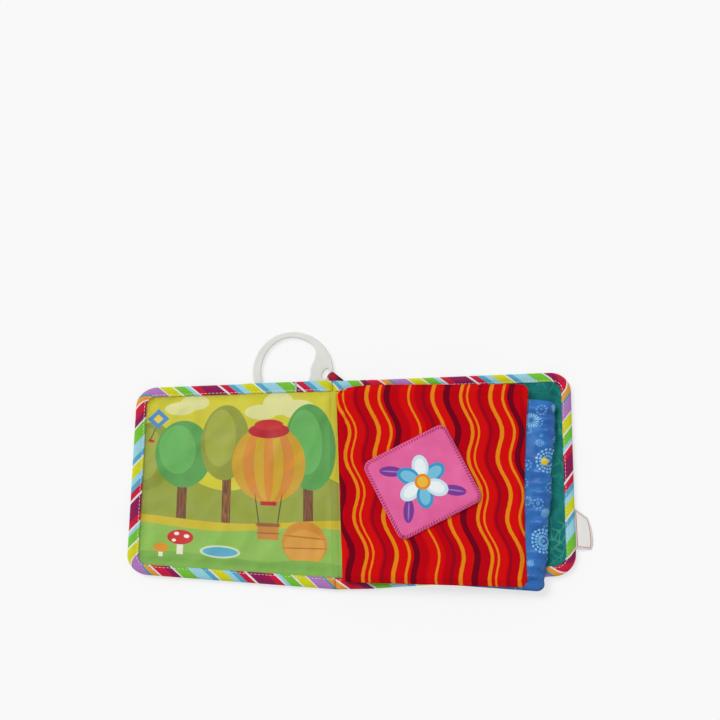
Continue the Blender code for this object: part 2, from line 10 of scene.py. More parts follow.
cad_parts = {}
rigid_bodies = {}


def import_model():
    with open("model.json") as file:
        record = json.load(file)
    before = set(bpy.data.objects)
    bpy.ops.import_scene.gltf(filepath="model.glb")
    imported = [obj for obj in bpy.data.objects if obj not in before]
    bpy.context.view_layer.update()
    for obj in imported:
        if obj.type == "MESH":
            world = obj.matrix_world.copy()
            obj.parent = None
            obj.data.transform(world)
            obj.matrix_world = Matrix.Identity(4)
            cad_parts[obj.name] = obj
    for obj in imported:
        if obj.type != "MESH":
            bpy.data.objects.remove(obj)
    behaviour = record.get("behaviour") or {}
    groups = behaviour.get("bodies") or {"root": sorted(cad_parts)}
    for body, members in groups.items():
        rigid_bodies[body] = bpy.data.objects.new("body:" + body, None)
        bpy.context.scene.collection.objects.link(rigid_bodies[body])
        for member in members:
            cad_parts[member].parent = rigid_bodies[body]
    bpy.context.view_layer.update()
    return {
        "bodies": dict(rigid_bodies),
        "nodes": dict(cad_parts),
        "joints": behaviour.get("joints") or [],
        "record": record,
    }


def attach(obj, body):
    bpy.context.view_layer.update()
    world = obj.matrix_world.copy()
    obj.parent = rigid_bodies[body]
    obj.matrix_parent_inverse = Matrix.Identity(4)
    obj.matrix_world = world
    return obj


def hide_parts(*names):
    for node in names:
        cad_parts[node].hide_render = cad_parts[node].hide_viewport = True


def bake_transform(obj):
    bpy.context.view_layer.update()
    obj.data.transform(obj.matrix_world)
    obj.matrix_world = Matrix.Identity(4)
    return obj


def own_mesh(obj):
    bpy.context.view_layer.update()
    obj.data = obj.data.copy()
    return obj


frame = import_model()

scene = bpy.context.scene

# Camera, floor and light
# The book lies open on a pale table and is looked at almost straight down, in soft even light. What
# the camera sees of the table and of the sky behind it is lifted to white, and the shadow stays.
CAMERA_PLACE = (0.0072, -0.1027, 1.2171)
CAMERA_AIM = (0.0083, 0.1031, 0.0)
CAMERA_ROLL = math.radians(-0.75)
SENSOR = 36.0
LENS = 74.1
FLOOR_HALF = 2.0
FLOOR_TONE = (0.975, 0.975, 0.975, 1.0)
FLOOR_ROUGHNESS = 0.9
FLOOR_GLOW = (0.95, 0.95, 0.95, 1.0)
FLOOR_LIFT = 0.65
SKY_TONE = (1.0, 1.0, 1.0, 1.0)
SKY_STRENGTH = 0.60
SKY_SEEN = 0.92
SUN_STRENGTH = 1.55
SUN_SPREAD = math.radians(28)
SUN_TURN = (math.radians(-26), math.radians(-34), 0.0)

camera_data = bpy.data.cameras.new("camera")
camera_data.sensor_width = SENSOR
camera_data.lens = LENS
camera = bpy.data.objects.new("camera", camera_data)
scene.collection.objects.link(camera)
camera.location = CAMERA_PLACE
sight = (Vector(CAMERA_AIM) - Vector(CAMERA_PLACE)).to_track_quat("-Z", "Y")
camera.rotation_euler = (sight.to_matrix() @ Matrix.Rotation(CAMERA_ROLL, 3, "Z")).to_euler()
scene.camera = camera
scene.view_settings.view_transform = "Standard"

sky = bpy.data.worlds.new("sky")
sky.use_nodes = True
sky_nodes, sky_links = sky.node_tree.nodes, sky.node_tree.links
sky_nodes["Background"].inputs["Color"].default_value = SKY_TONE
sky_path = sky_nodes.new("ShaderNodeLightPath")
sky_light = sky_nodes.new("ShaderNodeMath")
sky_light.operation = "MULTIPLY_ADD"
sky_light.inputs[1].default_value = SKY_SEEN - SKY_STRENGTH
sky_light.inputs[2].default_value = SKY_STRENGTH
sky_links.new(sky_path.outputs["Is Camera Ray"], sky_light.inputs[0])
sky_links.new(sky_light.outputs[0], sky_nodes["Background"].inputs["Strength"])
scene.world = sky

sun_data = bpy.data.lights.new("sun", "SUN")
sun_data.energy = SUN_STRENGTH
sun_data.angle = SUN_SPREAD
sun = bpy.data.objects.new("sun", sun_data)
sun.rotation_euler = SUN_TURN
scene.collection.objects.link(sun)

bpy.ops.mesh.primitive_grid_add(x_subdivisions=2, y_subdivisions=2, size=2 * FLOOR_HALF)
floor = bpy.context.object
floor.name = "floor"
floor_finish = bpy.data.materials.new("pale_table")
floor_finish.use_nodes = True
floor_nodes, floor_links = floor_finish.node_tree.nodes, floor_finish.node_tree.links
table = floor_nodes["Principled BSDF"]
table.inputs["Base Color"].default_value = FLOOR_TONE
table.inputs["Roughness"].default_value = FLOOR_ROUGHNESS
floor_path = floor_nodes.new("ShaderNodeLightPath")
lift = floor_nodes.new("ShaderNodeMath")
lift.operation = "MULTIPLY"
lift.inputs[1].default_value = FLOOR_LIFT
glow = floor_nodes.new("ShaderNodeEmission")
glow.inputs["Color"].default_value = FLOOR_GLOW
lit = floor_nodes.new("ShaderNodeMixShader")
floor_links.new(floor_path.outputs["Is Camera Ray"], lift.inputs[0])
floor_links.new(lift.outputs[0], lit.inputs[0])
floor_links.new(table.outputs[0], lit.inputs[1])
floor_links.new(glow.outputs[0], lit.inputs[2])
floor_links.new(lit.outputs[0], floor_nodes["Material Output"].inputs["Surface"])
floor.data.materials.append(floor_finish)

# Covers and spine
# Three flat pads of printed polyester with thin wadding, sewn side by side; each has an outer cloth
# below, wadding, and a page or lining above, held together by the tape round the edges.
COVER_WIDTH = 0.1655
COVER_HEIGHT = 0.171
COVER_THICKNESS = 0.008
HALF_SPINE = 0.014
HALF_HEIGHT = COVER_HEIGHT / 2
CORNER_RADIUS = 0.017
CLOTH = 0.0006
FOLD_HEIGHT = 0.0046
SEAM_HALF = 0.001
SEAM_INSET = 0.0012
SEAM_RAMP = 0.009
TAPE_WIDTH = 0.0092
TAPE_HEIGHT = 0.0062
TAPE = 0.0006
EDGE_LOW = 0.0009
EDGE_HIGH = 0.0053
PUFF_RAMP = 0.011
UNDER_RAMP = 0.004
RING_CLEAR = 0.0036
RING_ZONE = (0.070, 0.028)
RING_RAMP = 0.011
PAGE_STEP = 0.0024


def smooth(value):
    value = min(1.0, max(0.0, value))
    return value * value * (3 - 2 * value)


def mix(low, high, share):
    return low + (high - low) * share


def steps(low, high, step):
    count = max(1, round((high - low) / step))
    return [low + (high - low) * k / count for k in range(count + 1)]


class Pad:
    """A soft rectangle sewn at its root; u runs outwards, v up the page."""

    def __init__(self, root, side, width, height, radius, reaches, shifts, lift=0.0):
        self.root, self.side, self.width, self.height = root, side, width, height
        self.radius, self.reaches, self.shifts, self.lift = radius, reaches, shifts, lift

    def rounded(self, u, v):
        across = u - (self.width - self.radius)
        along = abs(v) - (self.height / 2 - self.radius)
        if across <= 0 or along <= 0:
            return u, v
        scale = max(across, along) / math.hypot(across, along)
        return (self.width - self.radius + across * scale,
                math.copysign(self.height / 2 - self.radius + along * scale, v))

    def place(self, u, v):
        return self.spot(*self.rounded(u, v))

    def spot(self, u, v):
        out = u / self.width
        up = v / self.height + 0.5
        x = u + out * mix(self.reaches[1], self.reaches[0], up)
        y = v + self.lift + out * mix(self.shifts[1], self.shifts[0], up)
        return self.root + self.side * x, y


FRONT = Pad(-HALF_SPINE, -1, COVER_WIDTH, COVER_HEIGHT, CORNER_RADIUS, (-0.0028, 0.005), (-0.0032, 0.016))
BACK = Pad(HALF_SPINE, 1, COVER_WIDTH, COVER_HEIGHT, CORNER_RADIUS, (0.003, 0.0012), (0.0038, 0.0082))
SPINE = Pad(-HALF_SPINE, 1, 2 * HALF_SPINE, COVER_HEIGHT, 0.0, (0.0, 0.0), (0.0, 0.0))


def cover_faces(pad, u, v):
    """Underside, top and tape underside of a cover at a point."""
    if pad is SPINE:
        fold, edge = min(u, pad.width - u), pad.height / 2 - abs(v)
    else:
        fold, edge = u, min(pad.width - u, pad.height / 2 - abs(v))
    rise = smooth((fold - SEAM_INSET) / SEAM_RAMP)
    past_tape = edge - TAPE_WIDTH
    clear = smooth(past_tape / UNDER_RAMP)
    low = max(mix(EDGE_LOW, 0.0, clear), mix(FOLD_HEIGHT - SEAM_HALF, 0.0, rise))
    high = min(mix(EDGE_HIGH, COVER_THICKNESS, smooth(past_tape / PUFF_RAMP)),
               mix(FOLD_HEIGHT + SEAM_HALF, COVER_THICKNESS, rise))
    return low, high, low - mix(EDGE_LOW, 0.0, clear)


def settle(pad, u, v, z):
    """Lifts the front cover where it lies on the ring, and squashes its wadding there."""
    if pad is not FRONT:
        return z
    base = cover_faces(pad, u, v)[2]
    along = 1 - smooth((u - RING_ZONE[0]) / RING_RAMP)
    depth = 1 - smooth((pad.height / 2 - v - RING_ZONE[1]) / RING_RAMP)
    lift = max(0.0, RING_CLEAR * along * depth - base)
    return z + lift * (1 - 0.75 * (z - base) / COVER_THICKNESS)


def creases(u, v, seed, size, strength):
    """Soft wrinkles of sewn cloth: crossing ridges, drawn out along the slant of the bias."""
    spot = Vector(((u + 0.6 * v) / size, (v - 0.4 * u) / (2.2 * size), seed))
    ridge = 1 - abs(noise.noise(spot))
    fine = noise.noise(Vector((u / (0.35 * size), v / (0.5 * size), seed + 7.3)))
    return strength * (ridge ** 3 - 0.55 + 0.25 * fine)


def slack(width, height, spare, stiffness, seed, step=0.003):
    """How cloth cut a little too large buckles when its edges are sewn down: 0 at its highest ridge, -1 at
    its deepest hollow."""
    across, up = round(width / step), round(height / step)
    points = [(width * i / across, height * (j / up - 0.5),
               0.0006 * noise.noise(Vector((width * i / across / 0.025, height * j / up / 0.03, seed))))
              for i in range(across + 1) for j in range(up + 1)]
    faces = [(i * (up + 1) + j, (i + 1) * (up + 1) + j, (i + 1) * (up + 1) + j + 1, i * (up + 1) + j + 1)
             for i in range(across) for j in range(up)]
    mesh = bpy.data.meshes.new("slack_cloth")
    mesh.from_pydata(points, [], faces)
    trial = bpy.data.objects.new("slack_cloth", mesh)
    scene.collection.objects.link(trial)
    sewn = [k for k, (u, v, _) in enumerate(points) if min(u, width - u, height / 2 - abs(v)) < step]
    trial.vertex_groups.new(name="sewn").add(sewn, 1.0, "REPLACE")
    cloth = trial.modifiers.new("slack_cloth", "CLOTH")
    cloth.settings.mass = 0.15
    cloth.settings.tension_stiffness = cloth.settings.compression_stiffness = 20.0
    cloth.settings.bending_stiffness = stiffness
    cloth.settings.shrink_min = -spare
    cloth.settings.vertex_group_mass = "sewn"
    cloth.settings.effector_weights.gravity = 0.0
    cloth.collision_settings.use_collision = False
    cloth.point_cache.frame_end = 20
    for frame in range(1, 21):
        scene.frame_set(frame)
    settled = trial.evaluated_get(bpy.context.evaluated_depsgraph_get())
    heights = [vertex.co.z for vertex in settled.data.vertices]
    bpy.data.objects.remove(trial)
    scene.frame_set(1)
    low, high = min(heights), max(heights)
    rows = [[(z - high) / (high - low) for z in heights[i * (up + 1):(i + 1) * (up + 1)]] for i in range(across + 1)]

    def depth(u, v):
        a = min(across - 1e-6, max(0.0, u / width * across))
        b = min(up - 1e-6, max(0.0, (v / height + 0.5) * up))
        i, j = int(a), int(b)
        near = mix(rows[i][j], rows[i][j + 1], smooth(b - j))
        return mix(near, mix(rows[i + 1][j], rows[i + 1][j + 1], smooth(b - j)), smooth(a - i))
    return depth


PAGE_SLACK = {FRONT: slack(COVER_WIDTH - TAPE_WIDTH, COVER_HEIGHT - 2 * TAPE_WIDTH, 0.016, 1.0, 1.0),
              BACK: slack(COVER_WIDTH - TAPE_WIDTH, COVER_HEIGHT - 2 * TAPE_WIDTH, 0.016, 1.0, 2.0)}


def page_height(pad, u, v):
    high = cover_faces(pad, u, v)[1]
    if pad is SPINE:
        return high
    edge = min(pad.width - u, pad.height / 2 - abs(v))
    free = smooth((edge - TAPE_WIDTH) / 0.004) * smooth((u - 0.0026) / 0.006)
    pull = math.sin(2 * math.pi * (u + v) / 0.0105 + 2 * math.sin((u - v) / 0.021))
    pull *= 0.0005 * smooth((edge - TAPE_WIDTH) / 0.003) * (1 - smooth((edge - TAPE_WIDTH - 0.003) / 0.012)) * free
    small = creases(u, v, 6.0, 0.021, 1.0) - 0.7
    dents = free * (0.0011 * small - 0.0028 * smooth(-PAGE_SLACK[pad](u, v)))
    return settle(pad, u, v, max(high + min(0.0, pull) + dents, cover_faces(pad, u, v)[0] + 3 * CLOTH))


def page_steps(pad, last):
    """Where the page's net has its lines across and up it, closer where it folds."""
    near = [SEAM_INSET, 0.0017, 0.0023, 0.0030]
    ups = steps(0.002 - pad.height / 2, pad.height / 2 - 0.002, PAGE_STEP)
    if pad is SPINE:
        return near + steps(0.0040, last - 0.0028, PAGE_STEP) + [pad.width - u for u in reversed(near)], ups
    return near + steps(0.0040, last, PAGE_STEP), ups


def under_height(pad, u, v):
    return settle(pad, u, v, cover_faces(pad, u, v)[0])


def grid_mesh(name, us, vs, point, mark=lambda u, v: (u, v)):
    """A net of cloth, with its own distances across and up kept for the print."""
    bm = bmesh.new()
    uv = bm.loops.layers.uv.new("cloth")
    rows = [[bm.verts.new(point(u, v)) for v in vs] for u in us]
    for i in range(len(us) - 1):
        for j in range(len(vs) - 1):
            face = bm.faces.new((rows[i][j], rows[i + 1][j], rows[i + 1][j + 1], rows[i][j + 1]))
            spots = ((us[i], vs[j]), (us[i + 1], vs[j]), (us[i + 1], vs[j + 1]), (us[i], vs[j + 1]))
            for loop, spot in zip(face.loops, spots):
                loop[uv].uv = mark(*spot)
    mesh = bpy.data.meshes.new(name)
    bm.to_mesh(mesh)
    bm.free()
    return mesh


def filling(name, us, vs, pad):
    """The wadding: a soft closed slab between the two cloths of a pad."""
    bm = bmesh.new()
    uv = bm.loops.layers.uv.new("cloth")
    nets = []
    for top in (False, True):
        nets.append([])
        for u in us:
            row = []
            for v in vs:
                low = under_height(pad, u, v) + CLOTH + 0.0003
                high = max(low + 0.0004, page_height(pad, u, v) - CLOTH - 0.0008)
                rim = smooth(min(u - us[0], us[-1] - u, v - vs[0], vs[-1] - v) / 0.006)
                middle = (low + high) / 2
                row.append(bm.verts.new((*pad.place(u, v), mix(middle, high if top else low, mix(0.3, 1.0, rim)))))
            nets[-1].append(row)
    for net in nets:
        for i in range(len(us) - 1):
            for j in range(len(vs) - 1):
                bm.faces.new((net[i][j], net[i + 1][j], net[i + 1][j + 1], net[i][j + 1]))
    a, b = len(us) - 1, len(vs) - 1
    rim = [(i, 0) for i in range(a)] + [(a, j) for j in range(b)]
    rim += [(i, b) for i in range(a, 0, -1)] + [(0, j) for j in range(b, 0, -1)]
    for (i, j), (k, m) in zip(rim, rim[1:] + rim[:1]):
        bm.faces.new((nets[0][i][j], nets[0][k][m], nets[1][k][m], nets[1][i][j]))
    for face in bm.faces:
        for loop in face.loops:
            loop[uv].uv = loop.vert.co.xy
    bmesh.ops.recalc_face_normals(bm, faces=bm.faces)
    mesh = bpy.data.meshes.new(name)
    bm.to_mesh(mesh)
    bm.free()
    return mesh


def piece(name, mesh, finish, body, replaced=()):
    mesh.materials.append(finish)
    mesh.shade_smooth()
    made = bpy.data.objects.new(name, mesh)
    scene.collection.objects.link(made)
    if body is not None:
        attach(made, body)
    if replaced:
        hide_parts(*replaced)
    return made


def facing(mesh, up):
    """Turns the net's faces so that they look up or down."""
    mesh.update()
    if (mesh.polygons[0].normal.z > 0) != up:
        mesh.flip_normals()


def thicken(made, thickness, smoother=0):
    """Gives the cloth its thickness behind its face."""
    solid = made.modifiers.new("cloth_thickness", "SOLIDIFY")
    solid.thickness = thickness
    solid.offset = -1
    if smoother:
        finer = made.modifiers.new("smoother", "SUBSURF")
        finer.levels = finer.render_levels = smoother


def dye(red, green, blue):
    """A colour as a dye chart gives it, 0 to 255, made linear for the shader."""
    def linear(value):
        value /= 255
        return value / 12.92 if value <= 0.04045 else ((value + 0.055) / 1.055) ** 2.4
    return (linear(red), linear(green), linear(blue), 1.0)


class Finish:
    """A material put together node by node, with short names for the steps used here."""

    def __init__(self, name, roughness, sheen=0.0, sheen_tint=(1.0, 1.0, 1.0, 1.0), specular=0.12):
        self.material = bpy.data.materials.new(name)
        self.material.use_nodes = True
        self.tree = self.material.node_tree
        self.shader = self.tree.nodes["Principled BSDF"]
        self.shader.inputs["Roughness"].default_value = roughness
        self.shader.inputs["Sheen Weight"].default_value = sheen
        self.shader.inputs["Sheen Tint"].default_value = sheen_tint
        self.shader.inputs["Specular IOR Level"].default_value = specular

    def node(self, kind, inputs, **settings):
        made = self.tree.nodes.new(kind)
        for name, value in settings.items():
            setattr(made, name, value)
        for name, value in inputs.items():
            if isinstance(value, bpy.types.NodeSocket):
                self.tree.links.new(value, made.inputs[name])
            elif value is not None:
                made.inputs[name].default_value = value
        return made

    def cloth(self):
        """Where a point lies on the flat cloth, in metres."""
        return self.node("ShaderNodeUVMap", {}, uv_map="cloth").outputs["UV"]

    def sum(self, operation, first, second=None, third=None):
        values = {0: first, 1: second, 2: third}
        return self.node("ShaderNodeMath", values, operation=operation).outputs[0]

    def vector(self, operation, first, second=None, third=None):
        values = {0: first, 1: second, 2: third}
        return self.node("ShaderNodeVectorMath", values, operation=operation).outputs

    def split(self, vector):
        return self.node("ShaderNodeSeparateXYZ", {0: vector}).outputs

    def join(self, x, y):
        return self.node("ShaderNodeCombineXYZ", {0: x, 1: y}).outputs[0]

    def ramp(self, value, low, high, to_low=0.0, to_high=1.0):
        inputs = {"Value": value, "From Min": low, "From Max": high, "To Min": to_low, "To Max": to_high}
        return self.node("ShaderNodeMapRange", inputs, clamp=True).outputs["Result"]

    def clouds(self, where, scale, detail=2.0):
        """Soft noise about a half, with patches about 1 / scale wide."""
        found = self.node("ShaderNodeTexNoise", {"Vector": where, "Scale": scale, "Detail": detail})
        return found.outputs["Fac"]

    def mottle(self, where, size, detail=3.0):
        """Even noise, 0 to 1, with patches about as wide as size."""
        return self.ramp(self.clouds(where, 1 / size, detail), 0.28, 0.72)

    def blend(self, share, below, above):
        made = self.node("ShaderNodeMix", {}, data_type="RGBA")
        for slot, value in ((0, share), (6, below), (7, above)):
            if isinstance(value, bpy.types.NodeSocket):
                self.tree.links.new(value, made.inputs[slot])
            else:
                made.inputs[slot].default_value = value
        return made.outputs[2]

    def within(self, where, x, y, width, height, turn):
        """Spots of the cloth as shares of the half sides of a turned rectangle, from its middle."""
        inputs = {"Vector": where, "Location": (x, y, 0.0), "Rotation": (0.0, 0.0, turn),
                  "Scale": (width / 2, height / 2, 1.0)}
        return self.node("ShaderNodeMapping", inputs, vector_type="TEXTURE").outputs[0]

    def oval(self, where, x, y, width, height, turn=0.0, blur=0.0003):
        """1 inside an oval on the cloth, 0 outside."""
        radius = self.vector("LENGTH", self.within(where, x, y, width, height, turn))["Value"]
        soft = blur / min(width, height)
        return self.ramp(radius, 1 + soft, 1 - soft)

    def box(self, where, x, y, width, height, turn=0.0, blur=0.0003):
        """1 inside a rectangle on the cloth, 0 outside."""
        size = self.vector("ABSOLUTE", self.within(where, x, y, width, height, turn))[0]
        across, along, _ = self.split(size)
        soft = blur / min(width, height)
        return self.ramp(self.sum("MAXIMUM", across, along), 1 + soft, 1 - soft)

    def hill(self, where, level, rise, length, shift, blur=0.0003):
        """1 below a rolling outline, 0 above it."""
        across, up, _ = self.split(where)
        turn = self.sum("MULTIPLY_ADD", across, 2 * math.pi / length, shift)
        outline = self.sum("MULTIPLY_ADD", self.sum("SINE", turn), rise, level)
        return self.ramp(self.sum("SUBTRACT", outline, up), -blur, blur)

    def emboss(self, height, depth):
        """Raises the surface where the height is 1, by the depth."""
        bump = self.node("ShaderNodeBump", {"Height": height, "Strength": 1.0, "Distance": depth})
        self.tree.links.new(bump.outputs[0], self.shader.inputs["Normal"])

    def weave(self, where, pitch, depth, rough=0.0002):
        """Raised threads that cross at a pitch, and a little unevenness."""
        across, up, _ = self.split(where)
        warp = self.sum("SINE", self.sum("MULTIPLY", across, 2 * math.pi / pitch))
        weft = self.sum("SINE", self.sum("MULTIPLY", up, 2 * math.pi / pitch))
        threads = self.sum("MULTIPLY_ADD", self.sum("MULTIPLY", warp, weft), 0.5, 0.5)
        uneven = self.clouds(where, 1 / (pitch * 6))
        self.emboss(self.sum("MULTIPLY_ADD", uneven, rough / depth, threads), depth)

    def colour(self, value):
        self.tree.links.new(value, self.shader.inputs["Base Color"])


PAGE_PRINT = (
    ("oval", 30, 62, 30, 16, 0, (222, 222, 150)), ("oval", 46, 67, 26, 20, 0, (222, 222, 150)),
    ("oval", 60, 60, 28, 13, 0, (222, 222, 150)), ("oval", 116, 70, 24, 14, 0, (222, 222, 150)),
    ("oval", 128, 65, 26, 12, 0, (222, 222, 150)), ("hill", 0, 2, 10, 118, 0, (150, 162, 60)),
    ("oval", 152, 22, 40, 62, 4, (140, 152, 56)), ("oval", 155, 24, 26, 48, 4, (158, 168, 66)),
    ("bark", 124, -16, 8, 44, 0, (132, 84, 50)), ("oval", 124, 24, 46, 60, -3, (88, 160, 78)),
    ("oval", 129, 28, 30, 44, -3, (104, 180, 92)), ("bark", 88, -16, 7, 44, 0, (150, 98, 56)),
    ("oval", 90, 34, 40, 66, 2, (146, 154, 58)), ("oval", 94, 38, 26, 50, 2, (162, 170, 68)),
    ("bark", 22, -16, 8, 44, 0, (132, 84, 50)), ("oval", 20, 30, 42, 72, -2, (88, 160, 78)),
    ("oval", 24, 34, 28, 54, -2, (104, 180, 92)), ("hill", 0, -33, 3, 190, 2, (205, 186, 44)),
    ("hill", 0, -40, 3, 160, 1, (142, 190, 84)), ("hill", 0, -66, 3, 210, 4, (126, 178, 76)),
    ("oval", 54, 16, 60, 66, 0, (206, 160, 38)), ("oval", 54, 16, 42, 66, 0, (214, 138, 50)),
    ("oval", 54, 16, 24, 66, 0, (208, 166, 42)), ("oval", 54, 16, 8, 66, 0, (214, 138, 50)),
    ("oval", 54, 44, 34, 13, 0, (184, 28, 42)), ("oval", 54, 49, 24, 9, 0, (200, 44, 50)),
    ("box", 45, -24, 0.9, 24, 8, (96, 62, 38)), ("box", 63, -24, 0.9, 24, -8, (96, 62, 38)),
    ("box", 54, -18, 13, 3.5, 0, (184, 28, 42)), ("box", 54, -42, 17, 13, 0, (198, 132, 54)),
    ("box", 54, -36, 19, 3, 0, (150, 92, 46)), ("box", 54, -43, 17, 1.2, 0, (160, 102, 50)),
    ("oval", 25, -50, 36, 36, 0, (210, 142, 52)), ("oval", 25, -53, 32, 28, 0, (220, 158, 60)),
    ("box", 25, -45, 30, 1.1, 3, (180, 112, 42)), ("box", 25, -54, 33, 1.1, -2, (180, 112, 42)),
    ("hill", 0, -66, 2, 90, 0, (126, 178, 76)), ("box", 124, -58, 5, 14, 0, (238, 232, 210)),
    ("oval", 124, -50, 21, 13, 0, (204, 40, 44)), ("oval", 119, -49, 4.4, 3.2, 0, (246, 240, 226)),
    ("oval", 127, -47, 4.0, 3.0, 0, (246, 240, 226)), ("oval", 129, -53, 3.4, 2.6, 0, (246, 240, 226)),
    ("box", 139, -64, 3.4, 8, 0, (238, 232, 210)), ("oval", 139, -60, 12, 8, 0, (222, 148, 44)),
    ("oval", 92, -61, 32, 11, 0, (206, 226, 190)), ("oval", 92, -61, 28, 8, 0, (92, 172, 200)),
    ("box", 146, 56, 13, 13, 45, (70, 140, 196)), ("box", 146, 56, 6, 6, 45, (236, 200, 60)),
    ("box", 150, 42, 0.8, 12, 20, (96, 62, 38)), ("box", 151, 36, 5, 2.4, 20, (200, 44, 50)))


def page_finish(name):
    """The page's print: a park with round trees, a balloon, a pond and toadstools under a yellow sky."""
    made = Finish(name, roughness=0.55, sheen=0.03)
    where = made.cloth()
    ink = made.blend(made.mottle(where, 0.05), dye(203, 196, 40), dye(214, 208, 56))
    across, up, _ = made.split(where)
    grain = made.clouds(made.join(made.sum("MULTIPLY", across, 9.0), up), 90.0, detail=3.0)
    for kind, x, y, wide, high, turn, colour in PAGE_PRINT:
        x, y, wide, high = x / 1000, y / 1000, wide / 1000, high / 1000
        if kind == "hill":
            mask = made.hill(where, y, wide, high, turn)
        elif kind == "oval":
            mask = made.oval(where, x, y, wide, high, math.radians(turn))
        else:
            mask = made.box(where, x, y, wide, high, math.radians(turn))
        shade = dye(*colour)
        if kind == "bark":
            shade = made.blend(made.ramp(grain, 0.42, 0.58), dye(104, 62, 36), shade)
        ink = made.blend(mask, ink, shade)
    worn = made.mottle(where, 0.022)
    made.colour(made.blend(made.sum("MULTIPLY", worn, 0.05), ink, dye(250, 250, 240)))
    made.weave(where, 0.0006, 0.00008)
    return made.material


def lining_finish(name):
    """Teal cotton with a crackled batik dye."""
    made = Finish(name, roughness=0.75, sheen=0.03)
    where = made.cloth()
    ground = made.blend(made.mottle(where, 0.012, detail=4.0), dye(8, 97, 95), dye(24, 129, 124))
    shift = made.node("ShaderNodeTexNoise", {"Vector": where, "Scale": 1 / 0.005}).outputs["Color"]
    bent = made.vector("MULTIPLY_ADD", shift, (0.003, 0.003, 0.0), where)[0]
    cells = made.node("ShaderNodeTexVoronoi", {"Vector": bent, "Scale": 1 / 0.0082}, feature="DISTANCE_TO_EDGE")
    crackle = made.ramp(cells.outputs["Distance"], 0.09, 0.0)
    crackle = made.sum("MULTIPLY", crackle, made.ramp(made.mottle(where, 0.02), 0.3, 0.8, 0.08, 0.6))
    made.colour(made.blend(crackle, ground, dye(92, 184, 150)))
    made.weave(where, 0.0007, 0.0001)
    return made.material


def outer_finish(name):
    """The outer print: plain green-blue cloth with rows of small pale dots."""
    made = Finish(name, roughness=0.7, sheen=0.03)
    where = made.cloth()
    ground = made.blend(made.mottle(where, 0.03), dye(48, 140, 128), dye(60, 152, 138))
    square = made.vector("FRACTION", made.vector("DIVIDE", where, (0.012, 0.012, 1.0))[0])[0]
    dot = made.oval(square, 0.5, 0.5, 0.28, 0.28, blur=0.03)
    made.colour(made.blend(dot, ground, dye(214, 226, 160)))
    made.weave(where, 0.0006, 0.00008)
    return made.material


def wadding_finish(name):
    made = Finish(name, roughness=0.95)
    where = made.cloth()
    made.colour(made.blend(made.mottle(where, 0.004), dye(236, 236, 230), dye(246, 246, 243)))
    made.weave(where, 0.0015, 0.0004)
    return made.material


WADDING = wadding_finish("white_wadding")
OUTER = outer_finish("outer_print")
PRINTED = page_finish("page_print")
LININGS = {"front_cover": PRINTED, "spine": PRINTED, "back_cover": lining_finish("teal_batik")}
for label, pad in (("front_cover", FRONT), ("spine", SPINE), ("back_cover", BACK)):
    body, lining = label, LININGS[label]
    last = pad.width - SEAM_INSET if pad is SPINE else pad.width - 0.002
    us, vs = page_steps(pad, last)
    page = grid_mesh(label + "_page", us, vs, lambda u, v: (*pad.place(u, v), page_height(pad, u, v)),
                     lambda u, v: (-u if pad is SPINE else u, v))
    facing(page, True)
    made = piece(label + "_page", page, lining, body, (label + "_lining",))
    thicken(made, CLOTH)
    under = grid_mesh(label + "_cloth", us, vs, lambda u, v: (*pad.place(u, v), under_height(pad, u, v)))
    facing(under, False)
    made = piece(label + "_cloth", under, OUTER, body, (label + "_outer",))
    thicken(made, CLOTH)
    inner_us = steps(0.006, last - 0.005, 0.003)
    inner_vs = steps(0.009 - pad.height / 2, pad.height / 2 - 0.009, 0.003)
    fill = filling(label + "_wadding", inner_us, inner_vs, pad)
    made = piece(label + "_wadding", fill, WADDING, body, (label + "_padding",))

# Striped binding
# A printed tape 18 mm wide, folded over the edges of the three pads and topstitched near its inner
# edge. The stripes lean, and on the front cover's top edge the tape's ends lap and the stripes jump.
TAPE_SLANT = 1.1
STITCH_INSET = 0.0076
STITCH_PITCH = 0.0031
TAPE_PROFILE = ((9.2, 0.1), (8.4, 0.0), (7.6, 0.35), (6.6, 0.05), (4.5, 0.0), (2.6, 0.2), (1.1, 0.9), (0.3, 1.9),
                (0.0, 3.1), (0.3, 4.3), (1.1, 5.3), (2.6, 6.0), (4.5, 6.2), (6.6, 6.15), (7.6, 5.85), (8.4, 6.2),
                (9.2, 6.1), (9.2, 5.5), (7.6, 5.2), (2.6, 5.3), (0.9, 4.2), (0.65, 3.1), (0.9, 2.0), (2.6, 0.9),
                (7.6, 1.0), (9.2, 0.7))
TAPE_INKS = {"crimson": dye(200, 20, 60), "plum": dye(140, 20, 80), "white": dye(228, 224, 224),
             "sky": dye(84, 164, 194), "pale": dye(150, 206, 220), "yellow": dye(206, 208, 20),
             "green": dye(115, 190, 50), "orange": dye(225, 150, 50), "teal": dye(60, 150, 170),
             "lilac": dye(175, 120, 185)}
TAPE_RUN = (("orange", 5.6), ("teal", 2.4), ("lilac", 12.5), ("white", 1.2), ("yellow", 9.5), ("white", 2.1),
            ("green", 8.3), ("pale", 3.5), ("white", 2.1), ("crimson", 6.1), ("plum", 14.9), ("white", 2.1),
            ("crimson", 6.5), ("sky", 5.3), ("pale", 5.6), ("yellow", 9.7), ("white", 2.1), ("sky", 5.2),
            ("pale", 11.2), ("green", 12.1), ("white", 2.2), ("plum", 5.9), ("crimson", 9.3), ("white", 2.1))
TAPE_REPEAT = sum(width for _, width in TAPE_RUN) / 1000
FRONT_START = 0.0073
FRONT_STRETCH = 0.985
BACK_START = -0.0087
BACK_STRETCH = 0.959
BACK_EASE = 0.0165
JOIN_AT = 0.032
JOIN_JUMP = 0.0615
SPINE_MARKS = {1: (0.1020, 0.1388), -1: (0.0073, -0.0151)}


